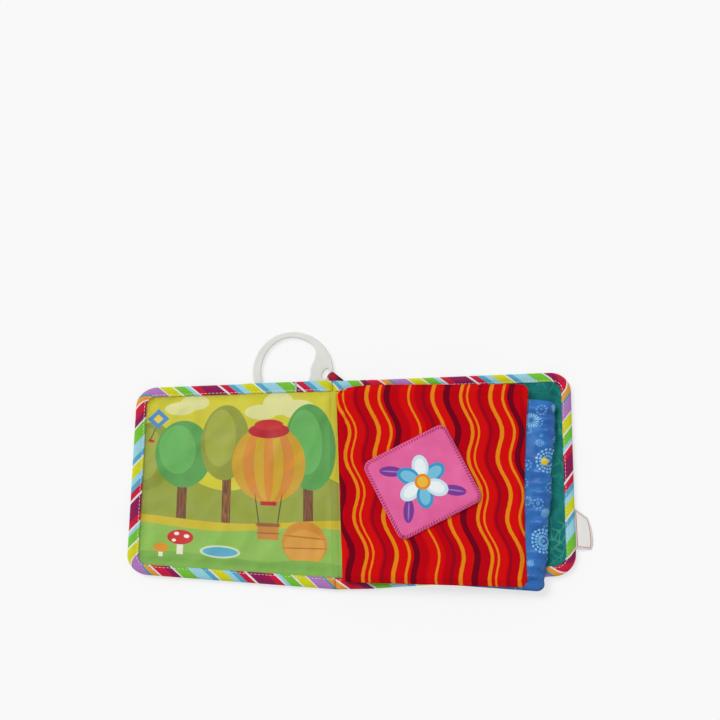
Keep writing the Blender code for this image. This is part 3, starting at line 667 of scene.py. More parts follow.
def striped_finish(name):
    made = Finish(name, roughness=0.5, sheen=0.04)
    along, across, _ = made.split(made.cloth())
    turn = made.sum("FRACT", made.sum("DIVIDE", along, TAPE_REPEAT))
    ramp = made.node("ShaderNodeValToRGB", {"Fac": turn})
    ramp.color_ramp.interpolation = "CONSTANT"
    stops = ramp.color_ramp.elements
    stops.remove(stops[1])
    place = 0.0
    for count, (ink, width) in enumerate(TAPE_RUN):
        stop = stops[0] if count == 0 else stops.new(place / TAPE_REPEAT / 1000)
        stop.position = place / TAPE_REPEAT / 1000
        stop.color = TAPE_INKS[ink]
        place += width
    made.colour(ramp.outputs["Color"])
    made.weave(made.cloth(), 0.0006, 0.00007)
    return made.material


def tape_z(pad, u, v, z):
    """The tape's height; it thins towards a fold, so that it clears its neighbour when the book shuts."""
    low, high, _ = cover_faces(pad, u, pad.height / 2)
    from_fold = min(u, pad.width - u) if pad is SPINE else u
    top = FOLD_HEIGHT + 0.85 * from_fold
    return min(top, settle(pad, u, v, mix(low - EDGE_LOW, min(high + EDGE_LOW, top), z / TAPE_HEIGHT)))


def edge_route(pad, inset, step=0.002):
    """Points along a pad's three free edges at an inset, from the fold's bottom end to its top end."""
    side = pad.width - pad.radius
    top = pad.height / 2 - inset
    outs = steps(0.0007, side, step)
    ups = steps(-(pad.height / 2 - pad.radius), pad.height / 2 - pad.radius, step)
    reach = pad.radius - inset
    arc = [(side + reach * math.sin(math.pi / 2 * k / 12), reach * math.cos(math.pi / 2 * k / 12))
           for k in range(1, 12)]
    corner = pad.height / 2 - pad.radius
    route = [(u, -top) for u in outs] + [(u, -corner - w) for u, w in arc]
    route += [(pad.width - inset, v) for v in ups] + [(u, corner + w) for u, w in reversed(arc)]
    return route + [(u, top) for u in reversed(outs)]


def closed_sweep(name, rows, marks):
    """A closed skin through rows of points, one row for each point of the section, with its ends capped."""
    bm = bmesh.new()
    uv = bm.loops.layers.uv.new("cloth")
    made = [[bm.verts.new(point) for point in row] for row in rows]
    for k in range(len(made)):
        here, there = made[k], made[(k + 1) % len(made)]
        for a in range(len(here) - 1):
            face = bm.faces.new((here[a], there[a], there[a + 1], here[a + 1]))
            spots = (marks[k][a], marks[(k + 1) % len(made)][a], marks[(k + 1) % len(made)][a + 1], marks[k][a + 1])
            for loop, spot in zip(face.loops, spots):
                loop[uv].uv = spot
    for end in (0, -1):
        face = bm.faces.new([row[end] for row in made])
        for loop, k in zip(face.loops, range(len(made))):
            loop[uv].uv = marks[k][end]
    bmesh.ops.recalc_face_normals(bm, faces=bm.faces)
    mesh = bpy.data.meshes.new(name)
    bm.to_mesh(mesh)
    bm.free()
    return mesh


def spine_mark(side, u, inset):
    """Where a point of the spine's tape lies on the printed tape: it carries on from the covers' tape."""
    return mix(*SPINE_MARKS[side], u / (2 * HALF_SPINE)) - TAPE_SLANT * inset / 1000, inset / 1000


def tape_mesh(name, pad, start, join=None):
    share = 0.9 if pad is BACK else 1.0
    routes = [edge_route(pad, inset / 1000 * share) for inset, _ in TAPE_PROFILE]
    middle = [Vector(pad.spot(u, v)) for u, v in edge_route(pad, TAPE_WIDTH / 2)]
    along = [0.0]
    for a, b in zip(middle, middle[1:]):
        along.append(along[-1] + (b - a).length)
    rows, marks = [], []
    for (inset, z), route in zip(TAPE_PROFILE, routes):
        row, mark = [], []
        for (u, v), run in zip(route, along):
            x, y = pad.spot(u, v)
            puff = 0.0002 * math.sin(2 * math.pi * run / 0.0072 + 2 * math.sin(run / 0.013)) * (1 if z > 3.1 else -1)
            puff *= smooth((inset - 1) / 3) * smooth((u - 0.001) / 0.004)
            row.append((x, y, max(0.0, tape_z(pad, u, v, z / 1000) + puff)))
            clockwise = run * FRONT_STRETCH if pad is FRONT else (along[-1] - run) * BACK_STRETCH
            jump = JOIN_JUMP if join and v > 0.06 and u < join else 0.0
            if pad is BACK:
                jump = BACK_EASE * (1 - smooth(run / 0.17))
            mark.append((start + clockwise - jump - TAPE_SLANT * inset / 1000, inset / 1000))
        rows.append(row)
        marks.append(mark)
    return closed_sweep(name, rows, marks)


def stitches(name, line, pitch, length, radius, finish, body):
    """A row of separate thread stitches laid along a line of points."""
    bm = bmesh.new()
    total = sum(math.dist(a, b) for a, b in zip(line, line[1:]))
    run = 0.0
    following = (total - (int(total / pitch - 0.5) - 1) * pitch) / 2
    for a, b in zip(line, line[1:]):
        a, b = Vector(a), Vector(b)
        span = (b - a).length
        while span and following <= min(run + span, total - 0.7 * pitch):
            centre = a + (b - a) * ((following - run) / span)
            along = (b - a).normalized()
            across = Vector((-along.y, along.x, 0)).normalized()
            up = along.cross(across)
            if up.z * (1 if centre.z > 0.003 else -1) < 0:
                up = -up
            rings = []
            for share, wide, raised in ((-0.5, 0.35, -0.6), (-0.36, 1.0, 0.0), (0.0, 1.0, 0.35), (0.36, 1.0, 0.0),
                                        (0.5, 0.35, -0.6)):
                middle = centre + along * share * length + up * raised * radius
                rings.append([bm.verts.new(middle + radius * wide * (across * math.cos(k * math.pi / 3)
                                                                     + up * math.sin(k * math.pi / 3)))
                              for k in range(6)])
            for here, there in zip(rings, rings[1:]):
                for k in range(6):
                    bm.faces.new((here[k], here[(k + 1) % 6], there[(k + 1) % 6], there[k]))
            bm.faces.new(rings[0])
            bm.faces.new(rings[-1])
            following += pitch
        run += span
    bmesh.ops.recalc_face_normals(bm, faces=bm.faces)
    mesh = bpy.data.meshes.new(name)
    bm.to_mesh(mesh)
    bm.free()
    return piece(name, mesh, finish, body, ())


def thread_finish(name, colour):
    made = Finish(name, roughness=0.5, sheen=0.3)
    made.colour(made.blend(made.mottle(made.node("ShaderNodeTexCoord", {}).outputs["Object"], 0.0008),
                           colour, tuple(min(1.0, value * 1.15) for value in colour[:3]) + (1.0,)))
    return made.material


STRIPES = striped_finish("binding_stripes")
WHITE_THREAD = thread_finish("white_thread", dye(232, 230, 224))
for label, pad, body, start, join in (("front_cover", FRONT, "front_cover", FRONT_START, JOIN_AT),
                                      ("back_cover", BACK, "back_cover", BACK_START, None)):
    tape = tape_mesh(label + "_tape", pad, start, join)
    piece(label + "_tape", tape, STRIPES, body, (label + "_binding",))
    for face, height in (("top", 6.1), ("under", 0.25)):
        line = [(*pad.spot(u, v), tape_z(pad, u, v, height / 1000)) for u, v in edge_route(pad, STITCH_INSET * (0.9 if pad is BACK else 1.0))]
        stitches(label + "_topstitch_" + face, line, STITCH_PITCH, 0.0022, 0.00017, WHITE_THREAD, body)
for end, side in (("top", 1), ("bottom", -1)):
    us = steps(0.0007, 2 * HALF_SPINE - 0.0007, 0.0018)
    rows = [[(*SPINE.spot(u, side * (HALF_HEIGHT - inset / 1000)), tape_z(SPINE, u, side * HALF_HEIGHT, z / 1000))
             for u in us] for inset, z in TAPE_PROFILE]
    marks = [[spine_mark(side, u, inset) for u in us] for inset, z in TAPE_PROFILE]
    piece("spine_tape_" + end, closed_sweep("spine_tape_" + end, rows, marks), STRIPES, "spine",
          ("spine_binding_" + end,))
    for face, height in (("top", 6.1), ("under", 0.25)):
        v = side * (HALF_HEIGHT - STITCH_INSET)
        line = [(*SPINE.spot(u, v), tape_z(SPINE, u, v, height / 1000)) for u in us]
        stitches("spine_topstitch_" + end + "_" + face, line, STITCH_PITCH, 0.0022, 0.00017, WHITE_THREAD, "spine")

# Fold seams
# Where a cover meets the spine, its cloths and tape are sewn down flat in a narrow groove at the book's fold; these
# pieces are built in place, on no body.
FOLD_HALF = 0.0022
for label, cover, near, body in (("front", FRONT, 0.0, "front_cover"), ("back", BACK, 2 * HALF_SPINE, "back_cover")):
    edge = cover.root
    start, end = (edge - 0.0014, 0, FOLD_HEIGHT), (edge + 0.0014, 0, FOLD_HEIGHT)
    for face in ("page", "outer"):
        def seam_point(d, v):
            pad, u = (cover, abs(d)) if (d < 0) == (cover is FRONT) else (SPINE, abs(d - near) if cover is FRONT
                                                                            else 2 * HALF_SPINE - abs(d))
            u = max(u, SEAM_INSET) if pad is cover else min(max(u, SEAM_INSET), 2 * HALF_SPINE - SEAM_INSET)
            height = page_height if face == "page" else under_height
            offset = mix(-0.0001, 0.00018, smooth((FOLD_HALF - abs(d)) / 0.0007)) * (1 if face == "page" else -1)
            sink = FOLD_HEIGHT + (0.0011 if face == "page" else -0.0004)
            z = mix(height(pad, u, v) + offset, sink, 1 - smooth(abs(d) / FOLD_HALF))
            return (edge + d, v, z)
        seam = grid_mesh(label + "_fold_" + face, steps(-FOLD_HALF, FOLD_HALF, 0.0004),
                         [v for v in page_steps(SPINE, 0.0268)[1] if abs(v) < HALF_HEIGHT - 0.008], seam_point,
                         lambda d, v: (-d - near, v))
        facing(seam, face == "page")
        made = piece(label + "_fold_" + face, seam, LININGS["spine"] if face == "page" else OUTER, None, ())
        thicken(made, 0.0004)
        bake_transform(made)
        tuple(start)
        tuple(end)
    for tip, side in (("top", 1), ("bottom", -1)):
        ds = steps(-0.0013, 0.0013, 0.0004)
        rows, marks = [], []
        for inset, z in TAPE_PROFILE:
            inset = inset * 0.985 + 0.1
            shrunk = 3.1 + (z - 3.1) * 0.985
            rows.append([(edge + d, side * (HALF_HEIGHT - inset / 1000), tape_z(SPINE, 0.0006, 0, shrunk / 1000))
                         for d in ds])
            marks.append([spine_mark(side, edge + d + HALF_SPINE, inset) for d in ds])
        made = piece(label + "_fold_tape_" + tip, closed_sweep(label + "_fold_tape_" + tip, rows, marks), STRIPES,
                     None, ())
        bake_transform(made)
        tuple(start)
        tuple(end)

# Blue leaf
# Two sheets of cloth sewn round a crinkling film: royal satin in front, plain blue cotton behind. Its
# seam draws the satin into puckers. It hangs from a hem sewn across the spine.
BLUE = Pad(0.0052, 1, 0.1535, 0.1565, 0.007, (0.010, -0.0056), (-0.0152, -0.0135), 0.0012)
BLUE_AXIS = 0.0044
BLUE_BASE = 0.0083
LEAF_AXIS_HEIGHT = 0.01155
LEAF_THICKNESS = 0.0031
LEAF_STEP = 0.0016
LEAF_CLOTH = 0.0005


def leaf_edge(pad, u, v):
    return min(pad.width - u, pad.height / 2 - abs(v))


BLUE_SLACK = slack(BLUE.width, BLUE.height, 0.03, 1.0, 3.0)


def blue_sway(u, v):
    """The seam draws the fore edge in and out."""
    far = smooth(u / BLUE.width * 2 - 1)
    return far * (0.0007 * math.cos(2 * math.pi * v / 0.046) + 0.0009 * abs(math.cos(math.pi * v / 0.0125))), 0.0


def satin_height(u, v):
    edge = leaf_edge(BLUE, u, v)
    free = smooth((u - 0.128) / 0.016)
    side = math.sin(2 * math.pi * v / 0.0095 + 2.2 * math.sin(v / 0.012)) * smooth(edge / 0.003)
    side *= 1 - smooth((edge - 0.005) / 0.014)
    crown = LEAF_THICKNESS * smooth(edge / 0.005)
    bed = smooth(edge / 0.008) * mix(0.0010, 0.0034, free) * BLUE_SLACK(u, v)
    fold = math.exp(-((BLUE.width - u - 0.0075 - 0.0012 * math.sin(v / 0.011)) / 0.0028) ** 2)
    fold *= 0.0013 * (0.55 + 0.45 * math.sin(v / 0.017 + 1.0)) * smooth((BLUE.height / 2 - abs(v)) / 0.02)
    return BLUE_BASE + max(LEAF_CLOTH * 1.6,
                           crown + bed + free * (0.0015 * side + 0.0022 * smooth(edge / 0.006)) + fold)


def satin_finish(name):
    """Glossy blue satin strewn with small rings of pale dots."""
    made = Finish(name, roughness=0.24, specular=0.5)
    where = made.cloth()
    ink = made.blend(made.mottle(where, 0.012), dye(14, 86, 164), dye(30, 112, 188))
    for cell, rings, count, tone, weight in ((0.0270, 4.0, 18, dye(140, 206, 240), 0.8),
                                             (0.0115, 1.7, 9, dye(120, 192, 236), 0.5)):
        cloth = made.vector("MULTIPLY", where, (1 / cell, 1 / cell, 0.0))[0]
        spread = made.node("ShaderNodeTexVoronoi", {"Vector": cloth, "Scale": 1.0, "Randomness": 0.75})
        local = made.vector("SUBTRACT", cloth, spread.outputs["Position"])[0]
        x, y, _ = made.split(local)
        turn = made.sum("MULTIPLY", made.sum("ARCTAN2", y, x), count / (2 * math.pi))
        ring = made.sum("MULTIPLY", spread.outputs["Distance"], rings / 0.40)
        along = made.sum("SUBTRACT", made.sum("FRACT", turn), 0.5)
        out = made.sum("SUBTRACT", made.sum("FRACT", ring), 0.5)
        squares = made.sum("ADD", made.sum("MULTIPLY", along, along), made.sum("MULTIPLY", out, out))
        near = made.sum("SQRT", squares)
        inside = made.ramp(ring, rings + 0.02, rings - 0.02)
        past = made.ramp(ring, 0.98, 1.02)
        dots = made.sum("MULTIPLY", made.ramp(near, 0.40, 0.28), made.sum("MULTIPLY", inside, past))
        core = made.ramp(ring, 0.62, 0.50)
        ink = made.blend(made.sum("MULTIPLY", made.sum("MAXIMUM", dots, core), weight), ink, tone)
    for x, y in ((0.147, 0.027), (0.092, -0.045), (0.046, 0.038), (0.118, 0.066)):
        ink = made.blend(made.oval(where, x, y, 0.0058, 0.0058), ink, dye(236, 206, 36))
    made.colour(ink)
    made.weave(where, 0.0005, 0.00004)
    return made.material


def cotton_finish(name, dark, light):
    made = Finish(name, roughness=0.85, sheen=0.04)
    where = made.cloth()
    made.colour(made.blend(made.mottle(where, 0.02), dark, light))
    made.weave(where, 0.0007, 0.0001)
    return made.material


def film_finish(name):
    made = Finish(name, roughness=0.25, specular=0.6)
    where = made.cloth()
    made.colour(made.blend(made.mottle(where, 0.006), dye(214, 216, 214), dye(236, 238, 236)))
    made.shader.inputs["Metallic"].default_value = 0.2
    made.weave(where, 0.002, 0.0002)
    return made.material


def leaf_sheet(name, pad, height, up, finish, body, replaced, us=None, vs=None, sway=blue_sway):
    us = us or steps(0.0, pad.width, LEAF_STEP)
    vs = vs or steps(-pad.height / 2, pad.height / 2, LEAF_STEP)

    def point(u, v):
        x, y = pad.place(u, v)
        across, along = sway(u, v)
        return (x + across, y + along, height(u, v))
    net = grid_mesh(name, us, vs, point)
    facing(net, up)
    made = piece(name, net, finish, body, replaced)
    thicken(made, LEAF_CLOTH)
    return made


def film_height(base, seed, top):
    """The crumpled film inside a leaf, always below the cloth on top."""
    def height(u, v):
        crumple = noise.noise(Vector((u / 0.006, v / 0.006, seed)))
        crumple += 0.5 * noise.noise(Vector((u / 0.0025, v / 0.0025, seed)))
        return min(base + 0.0013 + 0.0003 * crumple, top(u, v) - LEAF_CLOTH - 0.0004)
    return height


def root_web(name, x, pad, low, high, half, finish, body, replaced):
    """The folded cloth that joins a leaf to the spine."""
    ys = steps(pad.lift - pad.height / 2 + 0.004, pad.lift + pad.height / 2 - 0.004, 0.004)
    outline = [(-half, low), (half, low), (half, (low + high) / 2), (half, high), (-half, high),
               (-half, (low + high) / 2)]
    rows = [[(x + d, y, z) for y in ys] for d, z in outline]
    marks = [[(k * 0.001, y) for y in ys] for k in range(len(outline))]
    return piece(name, closed_sweep(name, rows, marks), finish, body, replaced)


SATIN = satin_finish("blue_satin")
BLUE_COTTON = cotton_finish("blue_cotton", dye(40, 84, 140), dye(56, 100, 156))
RED_COTTON = cotton_finish("red_cotton", dye(150, 20, 34), dye(168, 30, 44))
FILM = film_finish("crinkle_film")
leaf_sheet("blue_leaf_satin", BLUE, satin_height, True, SATIN, "blue_leaf", ("blue_leaf_front",))
leaf_sheet("blue_leaf_backing", BLUE, lambda u, v: BLUE_BASE, False, BLUE_COTTON, "blue_leaf", ("blue_leaf_back",))
leaf_sheet("blue_leaf_film", BLUE, film_height(BLUE_BASE, 1.0, satin_height), True, FILM, "blue_leaf",
           ("blue_leaf_crinkle_film",), steps(0.006, BLUE.width - 0.006, 0.003),
           steps(0.006 - BLUE.height / 2, BLUE.height / 2 - 0.006, 0.003))
root_web("blue_leaf_hem_band", BLUE_AXIS, BLUE, 0.0079, 0.0096, 0.0006, SATIN, "spine", ("blue_leaf_hem",))
root_web("blue_leaf_root", BLUE_AXIS, BLUE, 0.0094, LEAF_AXIS_HEIGHT - 0.0001, 0.0009, SATIN, "blue_gutter",
         ("blue_leaf_gutter",))

# Red leaf
# Short plush printed with wavy stripes in front, red cotton behind and crinkling film between. At the
# spine its cloth rolls over the hem that it is sewn in by.
RED = Pad(-0.0049, 1, 0.1465, 0.1605, 0.007, (0.0035, -0.0035), (-0.0022, -0.007), 0.0003)
RED_AXIS = -0.0057
RED_BASE = 0.0117
RED_REPEAT = 0.1009
RED_LINES = ((0.0, 2.7, "orange"), (5.2, 1.6, "orange"), (15.0, 2.4, "thin"), (24.0, 3.3, "orange"),
             (34.2, 2.2, "orange"), (40.3, 4.8, "plum"), (58.2, 1.8, "orange"), (70.1, 3.0, "thin"),
             (77.8, 3.1, "orange"), (89.0, 5.2, "plum"))
RED_SLACK = slack(RED.width, RED.height, 0.012, 8.0, 5.0)


def red_sway(u, v):
    """The fore edge hangs in a little at its middle, and the top corner at the spine dips."""
    out, half = u / RED.width, v / (RED.height / 2)
    dip = math.exp(-u / 0.0085) * max(0.0, half) ** 3
    return out * (0.0030 * half * half - 0.0014), -0.0036 * dip


def plush_height(u, v):
    edge = leaf_edge(RED, u, v)
    crown = LEAF_THICKNESS * smooth(edge / 0.006)
    small = (creases(u, v, 2.0, 0.03, 1.0) - 0.7) * smooth((u - 0.004) / 0.012)
    return RED_BASE + max(LEAF_CLOTH * 1.6, crown + smooth(edge / 0.01) * (0.0011 * RED_SLACK(u, v) + 0.0004 * small))


def plush_finish(name):
    made = Finish(name, roughness=0.9, sheen=0.12, sheen_tint=dye(255, 90, 70), specular=0.05)
    where = made.cloth()
    across, up, _ = made.split(where)
    down = made.sum("SUBTRACT", RED.height / 2, up)
    wave = made.sum("MULTIPLY", made.sum("SINE", made.sum("MULTIPLY", down, 2 * math.pi / 0.049)), 0.0033)
    lean = made.sum("MULTIPLY_ADD", down, -6 / 48, wave)
    across = made.sum("MULTIPLY", across, made.sum("MULTIPLY_ADD", up, 0.2977, 1.0))
    line = made.sum("ADD", made.sum("ADD", across, 0.0044), lean)
    wobble = made.node("ShaderNodeTexNoise", {"Vector": where, "Scale": 260.0})
    line = made.sum("MULTIPLY_ADD", made.sum("SUBTRACT", wobble.outputs["Fac"], 0.5), 0.0008, line)
    turn = made.sum("MULTIPLY", made.sum("FRACT", made.sum("DIVIDE", line, RED_REPEAT)), RED_REPEAT)
    grounds = made.ramp(made.sum("SINE", made.sum("MULTIPLY", line, 2 * math.pi * 4 / RED_REPEAT)), -0.3, 0.3)
    ink = made.blend(grounds, dye(184, 2, 18), dye(208, 12, 14))
    for place, width, kind in RED_LINES:
        near = made.sum("ABSOLUTE", made.sum("SUBTRACT", turn, place / 1000))
        far = made.sum("SUBTRACT", RED_REPEAT, near)
        near = made.sum("MINIMUM", near, far)
        mask = made.ramp(near, width / 2000 + 0.0002, width / 2000 - 0.0002)
        colour = {"orange": dye(224, 132, 22), "thin": dye(150, 6, 26), "plum": dye(108, 4, 26)}[kind]
        ink = made.blend(mask, ink, colour)
    made.colour(ink)
    made.emboss(made.clouds(where, 1400.0), 0.0002)
    return made.material


PLUSH = plush_finish("red_plush")
leaf_sheet("red_leaf_plush", RED, plush_height, True, PLUSH, "red_leaf", ("red_leaf_front",),
           sway=red_sway)
leaf_sheet("red_leaf_backing", RED, lambda u, v: RED_BASE, False, RED_COTTON, "red_leaf", ("red_leaf_back",),
           sway=red_sway)
leaf_sheet("red_leaf_film", RED, film_height(RED_BASE, 3.0, plush_height), True, FILM, "red_leaf",
           ("red_leaf_crinkle_film",), steps(0.006, RED.width - 0.006, 0.003),
           steps(0.006 - RED.height / 2, RED.height / 2 - 0.006, 0.003))
root_web("red_leaf_hem_band", RED_AXIS, RED, 0.0079, 0.0092, 0.0008, PLUSH, "spine", ("red_leaf_hem",))
ys = steps(RED.lift - RED.height / 2 + 0.0004, RED.lift + RED.height / 2 - 0.0048, 0.003)
roll_rows, roll_marks = [], []
for k in range(24):
    turn = 2 * math.pi * k / 24
    row, mark = [], []
    for y in ys:
        up = (y - RED.lift) / RED.height + 0.5
        wide = mix(0.0034, 0.0062, up) if math.cos(turn) < 0 else 0.0030
        end = mix(0.7, 1.0, smooth(min(y - ys[0], ys[-1] - y) / 0.003))
        row.append((RED_AXIS + wide * end * math.cos(turn), y, LEAF_AXIS_HEIGHT + 0.0031 * end * math.sin(turn)))
        mark.append((-0.0008 - 0.0045 * (turn - math.pi / 2), y - RED.lift))
    roll_rows.append(row)
    roll_marks.append(mark)
roll = piece("red_leaf_roll", closed_sweep("red_leaf_roll", roll_rows, roll_marks), PLUSH, "red_gutter",
             ("red_leaf_gutter",))
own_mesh(roll)

# Patch
# A pink cotton square with a printed flower, sewn to the plush by a close zigzag of magenta thread.
PATCH_SIZE = (0.0755, 0.0705)
PATCH_RADIUS = 0.007
PATCH_PLACE = (0.0572, -0.0006)
PATCH_TILT = math.radians(26)
PATCH_BASE = 0.0150


def patch_spot(x, y):
    across = abs(x) - (PATCH_SIZE[0] / 2 - PATCH_RADIUS)
    along = abs(y) - (PATCH_SIZE[1] / 2 - PATCH_RADIUS)
    if across > 0 and along > 0:
        scale = max(across, along) / math.hypot(across, along)
        x = math.copysign(PATCH_SIZE[0] / 2 - PATCH_RADIUS + across * scale, x)
        y = math.copysign(PATCH_SIZE[1] / 2 - PATCH_RADIUS + along * scale, y)
    cos, sin = math.cos(PATCH_TILT), math.sin(PATCH_TILT)
    return PATCH_PLACE[0] + x * cos - y * sin, PATCH_PLACE[1] + x * sin + y * cos


def patch_height(x, y):
    edge = min(PATCH_SIZE[0] / 2 - abs(x), PATCH_SIZE[1] / 2 - abs(y))
    return PATCH_BASE + 0.0004 + smooth(edge / 0.006) * (0.0004 + max(0.0, creases(x, y, 4.4, 0.03, 0.0006)))


def patch_finish(name):
    made = Finish(name, roughness=0.7, sheen=0.04)
    where = made.cloth()
    ink = made.blend(made.mottle(where, 0.02), dye(222, 92, 152), dye(234, 110, 166))
    petals = ((0.0, "blue"), (60, "pale"), (120, "blue"), (180, "pale"), (240, "blue"), (300, "pale"))
    for angle, x, y in ((-120, -0.021, -0.016), (-35, 0.020, -0.018), (150, -0.019, 0.019)):
        turn = math.radians(angle)
        ink = made.blend(made.oval(where, x, y, 0.019, 0.0085, turn), ink, dye(120, 60, 150))
        ink = made.blend(made.oval(where, x, y, 0.015, 0.0012, turn), ink, dye(170, 120, 190))
    for angle, kind in petals:
        turn = math.radians(angle + 12)
        x, y = 0.0125 * math.cos(turn), 0.0125 * math.sin(turn)
        outer, inner = (dye(64, 150, 200), dye(120, 192, 220)) if kind == "blue" else (dye(206, 228, 238),
                                                                                    dye(236, 244, 246))
        ink = made.blend(made.oval(where, x, y, 0.019, 0.0135, turn), ink, outer)
        ink = made.blend(made.oval(where, x * 0.96, y * 0.96, 0.014, 0.0088, turn), ink, inner)
    ink = made.blend(made.oval(where, 0.0, 0.0, 0.0130, 0.0130), ink, dye(226, 140, 40))
    ink = made.blend(made.oval(where, 0.0, 0.0, 0.0088, 0.0088), ink, dye(240, 184, 60))
    made.colour(ink)
    made.weave(where, 0.0006, 0.00008)
    return made.material


net = grid_mesh("patch_cotton", steps(-PATCH_SIZE[0] / 2, PATCH_SIZE[0] / 2, 0.0015),
                steps(-PATCH_SIZE[1] / 2, PATCH_SIZE[1] / 2, 0.0015),
                lambda x, y: (*patch_spot(x, y), patch_height(x, y)))
facing(net, True)
patch = piece("patch_cotton", net, patch_finish("pink_patch_print"), "red_leaf", ("applique_patch",))
thicken(patch, 0.0004)
rim = []
for k in range(4 * 24):
    quarter, step = divmod(k, 24)
    share = step / 24
    length, height = PATCH_SIZE[0] / 2, PATCH_SIZE[1] / 2
    x, y = ((mix(-length, length, share), -height), (length, mix(-height, height, share)),
            (mix(length, -length, share), height), (-length, mix(height, -height, share)))[quarter]
    rim.append((x, y))
rim.append(rim[0])
zigzag = []
run, following, count = 0.0, 0.0, 0
for a, b in zip(rim, rim[1:]):
    span = math.dist(a, b)
    while following <= run + span:
        share = (following - run) / span
        x, y = mix(a[0], b[0], share), mix(a[1], b[1], share)
        inward = (0.0004, 0.0030, 0.0030, 0.0004)[count % 4]
        scale = (1 - inward / (PATCH_SIZE[0] / 2), 1 - inward / (PATCH_SIZE[1] / 2))
        zigzag.append((*patch_spot(x * scale[0], y * scale[1]), PATCH_BASE + 0.0009))
        following += 0.00005 if count % 2 == 0 else 0.0025
        count += 1
    run += span
MAGENTA = thread_finish("magenta_thread", dye(174, 10, 90))
bm = bmesh.new()
for a, b in list(zip(zigzag, zigzag[1:]))[::2]:
    a, b = Vector(a), Vector(b)
    along = (b - a).normalized()
    across = Vector((-along.y, along.x, 0))
    rings = []
    for share, rise in ((0.0, -0.00025), (0.15, 0.00005), (0.5, 0.00012), (0.85, 0.00005), (1.0, -0.00025)):
        middle = a.lerp(b, share) + Vector((0, 0, rise))
        rings.append([bm.verts.new(middle + 0.00030 * (across * math.cos(k * math.pi / 2.5)
                                                     + Vector((0, 0, 1)) * math.sin(k * math.pi / 2.5)))
                      for k in range(5)])
    for here, there in zip(rings, rings[1:]):
        for k in range(5):
            bm.faces.new((here[k], here[(k + 1) % 5], there[(k + 1) % 5], there[k]))
    bm.faces.new(rings[0])
    bm.faces.new(rings[-1])
bmesh.ops.recalc_face_normals(bm, faces=bm.faces)
mesh = bpy.data.meshes.new("patch_zigzag")
bm.to_mesh(mesh)
bm.free()
piece("patch_zigzag", mesh, MAGENTA, "red_leaf", ("patch_stitching",))

# Link ring
# One flat moulding of pale plastic with rounded edges, thicker at the head, where an oval eye takes the tab.
RING_CENTRE = (-0.0475, 0.094)
RING_RADIUS = 0.0335
RING_BAND = 0.0072
RING_TOP_BAND = 0.0048
RING_HEAD = 0.019
RING_LIFT = 0.0009
RING_THICKNESS = 0.0024
RING_ROUND = 0.0009
EYE_PLACE = (-0.0206, 0.0917)
EYE_SIZE = (0.0098, 0.0054)
EYE_TURN = math.radians(62)


def ring_band(degrees):
    if degrees >= 6:
        head = 1 - smooth((degrees - 6) / 46)
    else:
        head = smooth((degrees + 70) / 36)
    slim = math.exp(-((degrees - 95) / 46) ** 2)
    return mix(mix(RING_BAND, RING_TOP_BAND, slim), RING_HEAD, head)


def plastic_finish(name):
    made = Finish(name, roughness=0.42, specular=0.5)
    where = made.node("ShaderNodeTexCoord", {}).outputs["Object"]
    made.colour(made.blend(made.mottle(where, 0.02), dye(216, 218, 212), dye(226, 228, 222)))
    made.shader.inputs["Subsurface Weight"].default_value = 0.1
    made.shader.inputs["Subsurface Radius"].default_value = (0.004, 0.004, 0.003)
    return made.material


outline = bpy.data.curves.new("ring_outline", "CURVE")
outline.dimensions = "2D"
outline.fill_mode = "BOTH"
outline.extrude = RING_THICKNESS / 2 - RING_ROUND
outline.bevel_depth = RING_ROUND
outline.bevel_resolution = 3
loops = []
angles = [-150 + 3 * k for k in range(120)]
loops.append([(RING_CENTRE[0] + (RING_RADIUS - RING_ROUND) * math.cos(math.radians(a)),
               RING_CENTRE[1] + (RING_RADIUS - RING_ROUND) * math.sin(math.radians(a))) for a in angles])
loops.append([(RING_CENTRE[0] + (RING_RADIUS - ring_band(a) + RING_ROUND) * math.cos(math.radians(a)),
               RING_CENTRE[1] + (RING_RADIUS - ring_band(a) + RING_ROUND) * math.sin(math.radians(a)))
              for a in angles])
eye = []
for k in range(32):
    x = (EYE_SIZE[0] / 2 + RING_ROUND * 0.6) * math.cos(2 * math.pi * k / 32)
    y = (EYE_SIZE[1] / 2 + RING_ROUND * 0.6) * math.sin(2 * math.pi * k / 32)
    eye.append((EYE_PLACE[0] + x * math.cos(EYE_TURN) - y * math.sin(EYE_TURN),
                EYE_PLACE[1] + x * math.sin(EYE_TURN) + y * math.cos(EYE_TURN)))
loops.append(eye)
for loop in loops:
    spline = outline.splines.new("POLY")
    spline.points.add(len(loop) - 1)
    for point, (x, y) in zip(spline.points, loop):
        point.co = (x, y, 0.0, 1.0)
    spline.use_cyclic_u = True
drawn = bpy.data.objects.new("ring_outline", outline)
scene.collection.objects.link(drawn)
bpy.context.view_layer.update()
ring_skin = bpy.data.meshes.new_from_object(drawn.evaluated_get(bpy.context.evaluated_depsgraph_get()))
bpy.data.objects.remove(drawn)
ring_skin.name = "plastic_ring"
ring_skin.transform(Matrix.Translation((0, 0, RING_LIFT + RING_THICKNESS / 2)))
ring_skin.materials.clear()
piece("plastic_ring", ring_skin, plastic_finish("pale_plastic"), "link_ring", ("link_ring",))

# Ribbon tab
# A crimson grosgrain ribbon, sewn in at the spine's top seam, folded small and looped through the eye.
RIBBON_ROWS = ((-18.0, 84.6, -4.4, 84.6, 3.6), (-18.0, 85.8, -6.2, 86.6, 4.3), (-18.0, 86.8, -10.2, 89.4, 4.6),
               (-17.9, 87.6, -13.6, 92.9, 4.6), (-18.6, 88.0, -15.7, 93.0, 4.2), (-19.4, 88.3, -18.4, 90.6, 3.3),
               (-19.5, 88.4, -18.9, 90.2, 1.4), (-19.0, 88.1, -17.0, 90.2, 0.45), (-18.2, 86.8, -13.6, 90.0, 0.5),
               (-18.0, 84.6, -5.0, 84.6, 1.9))


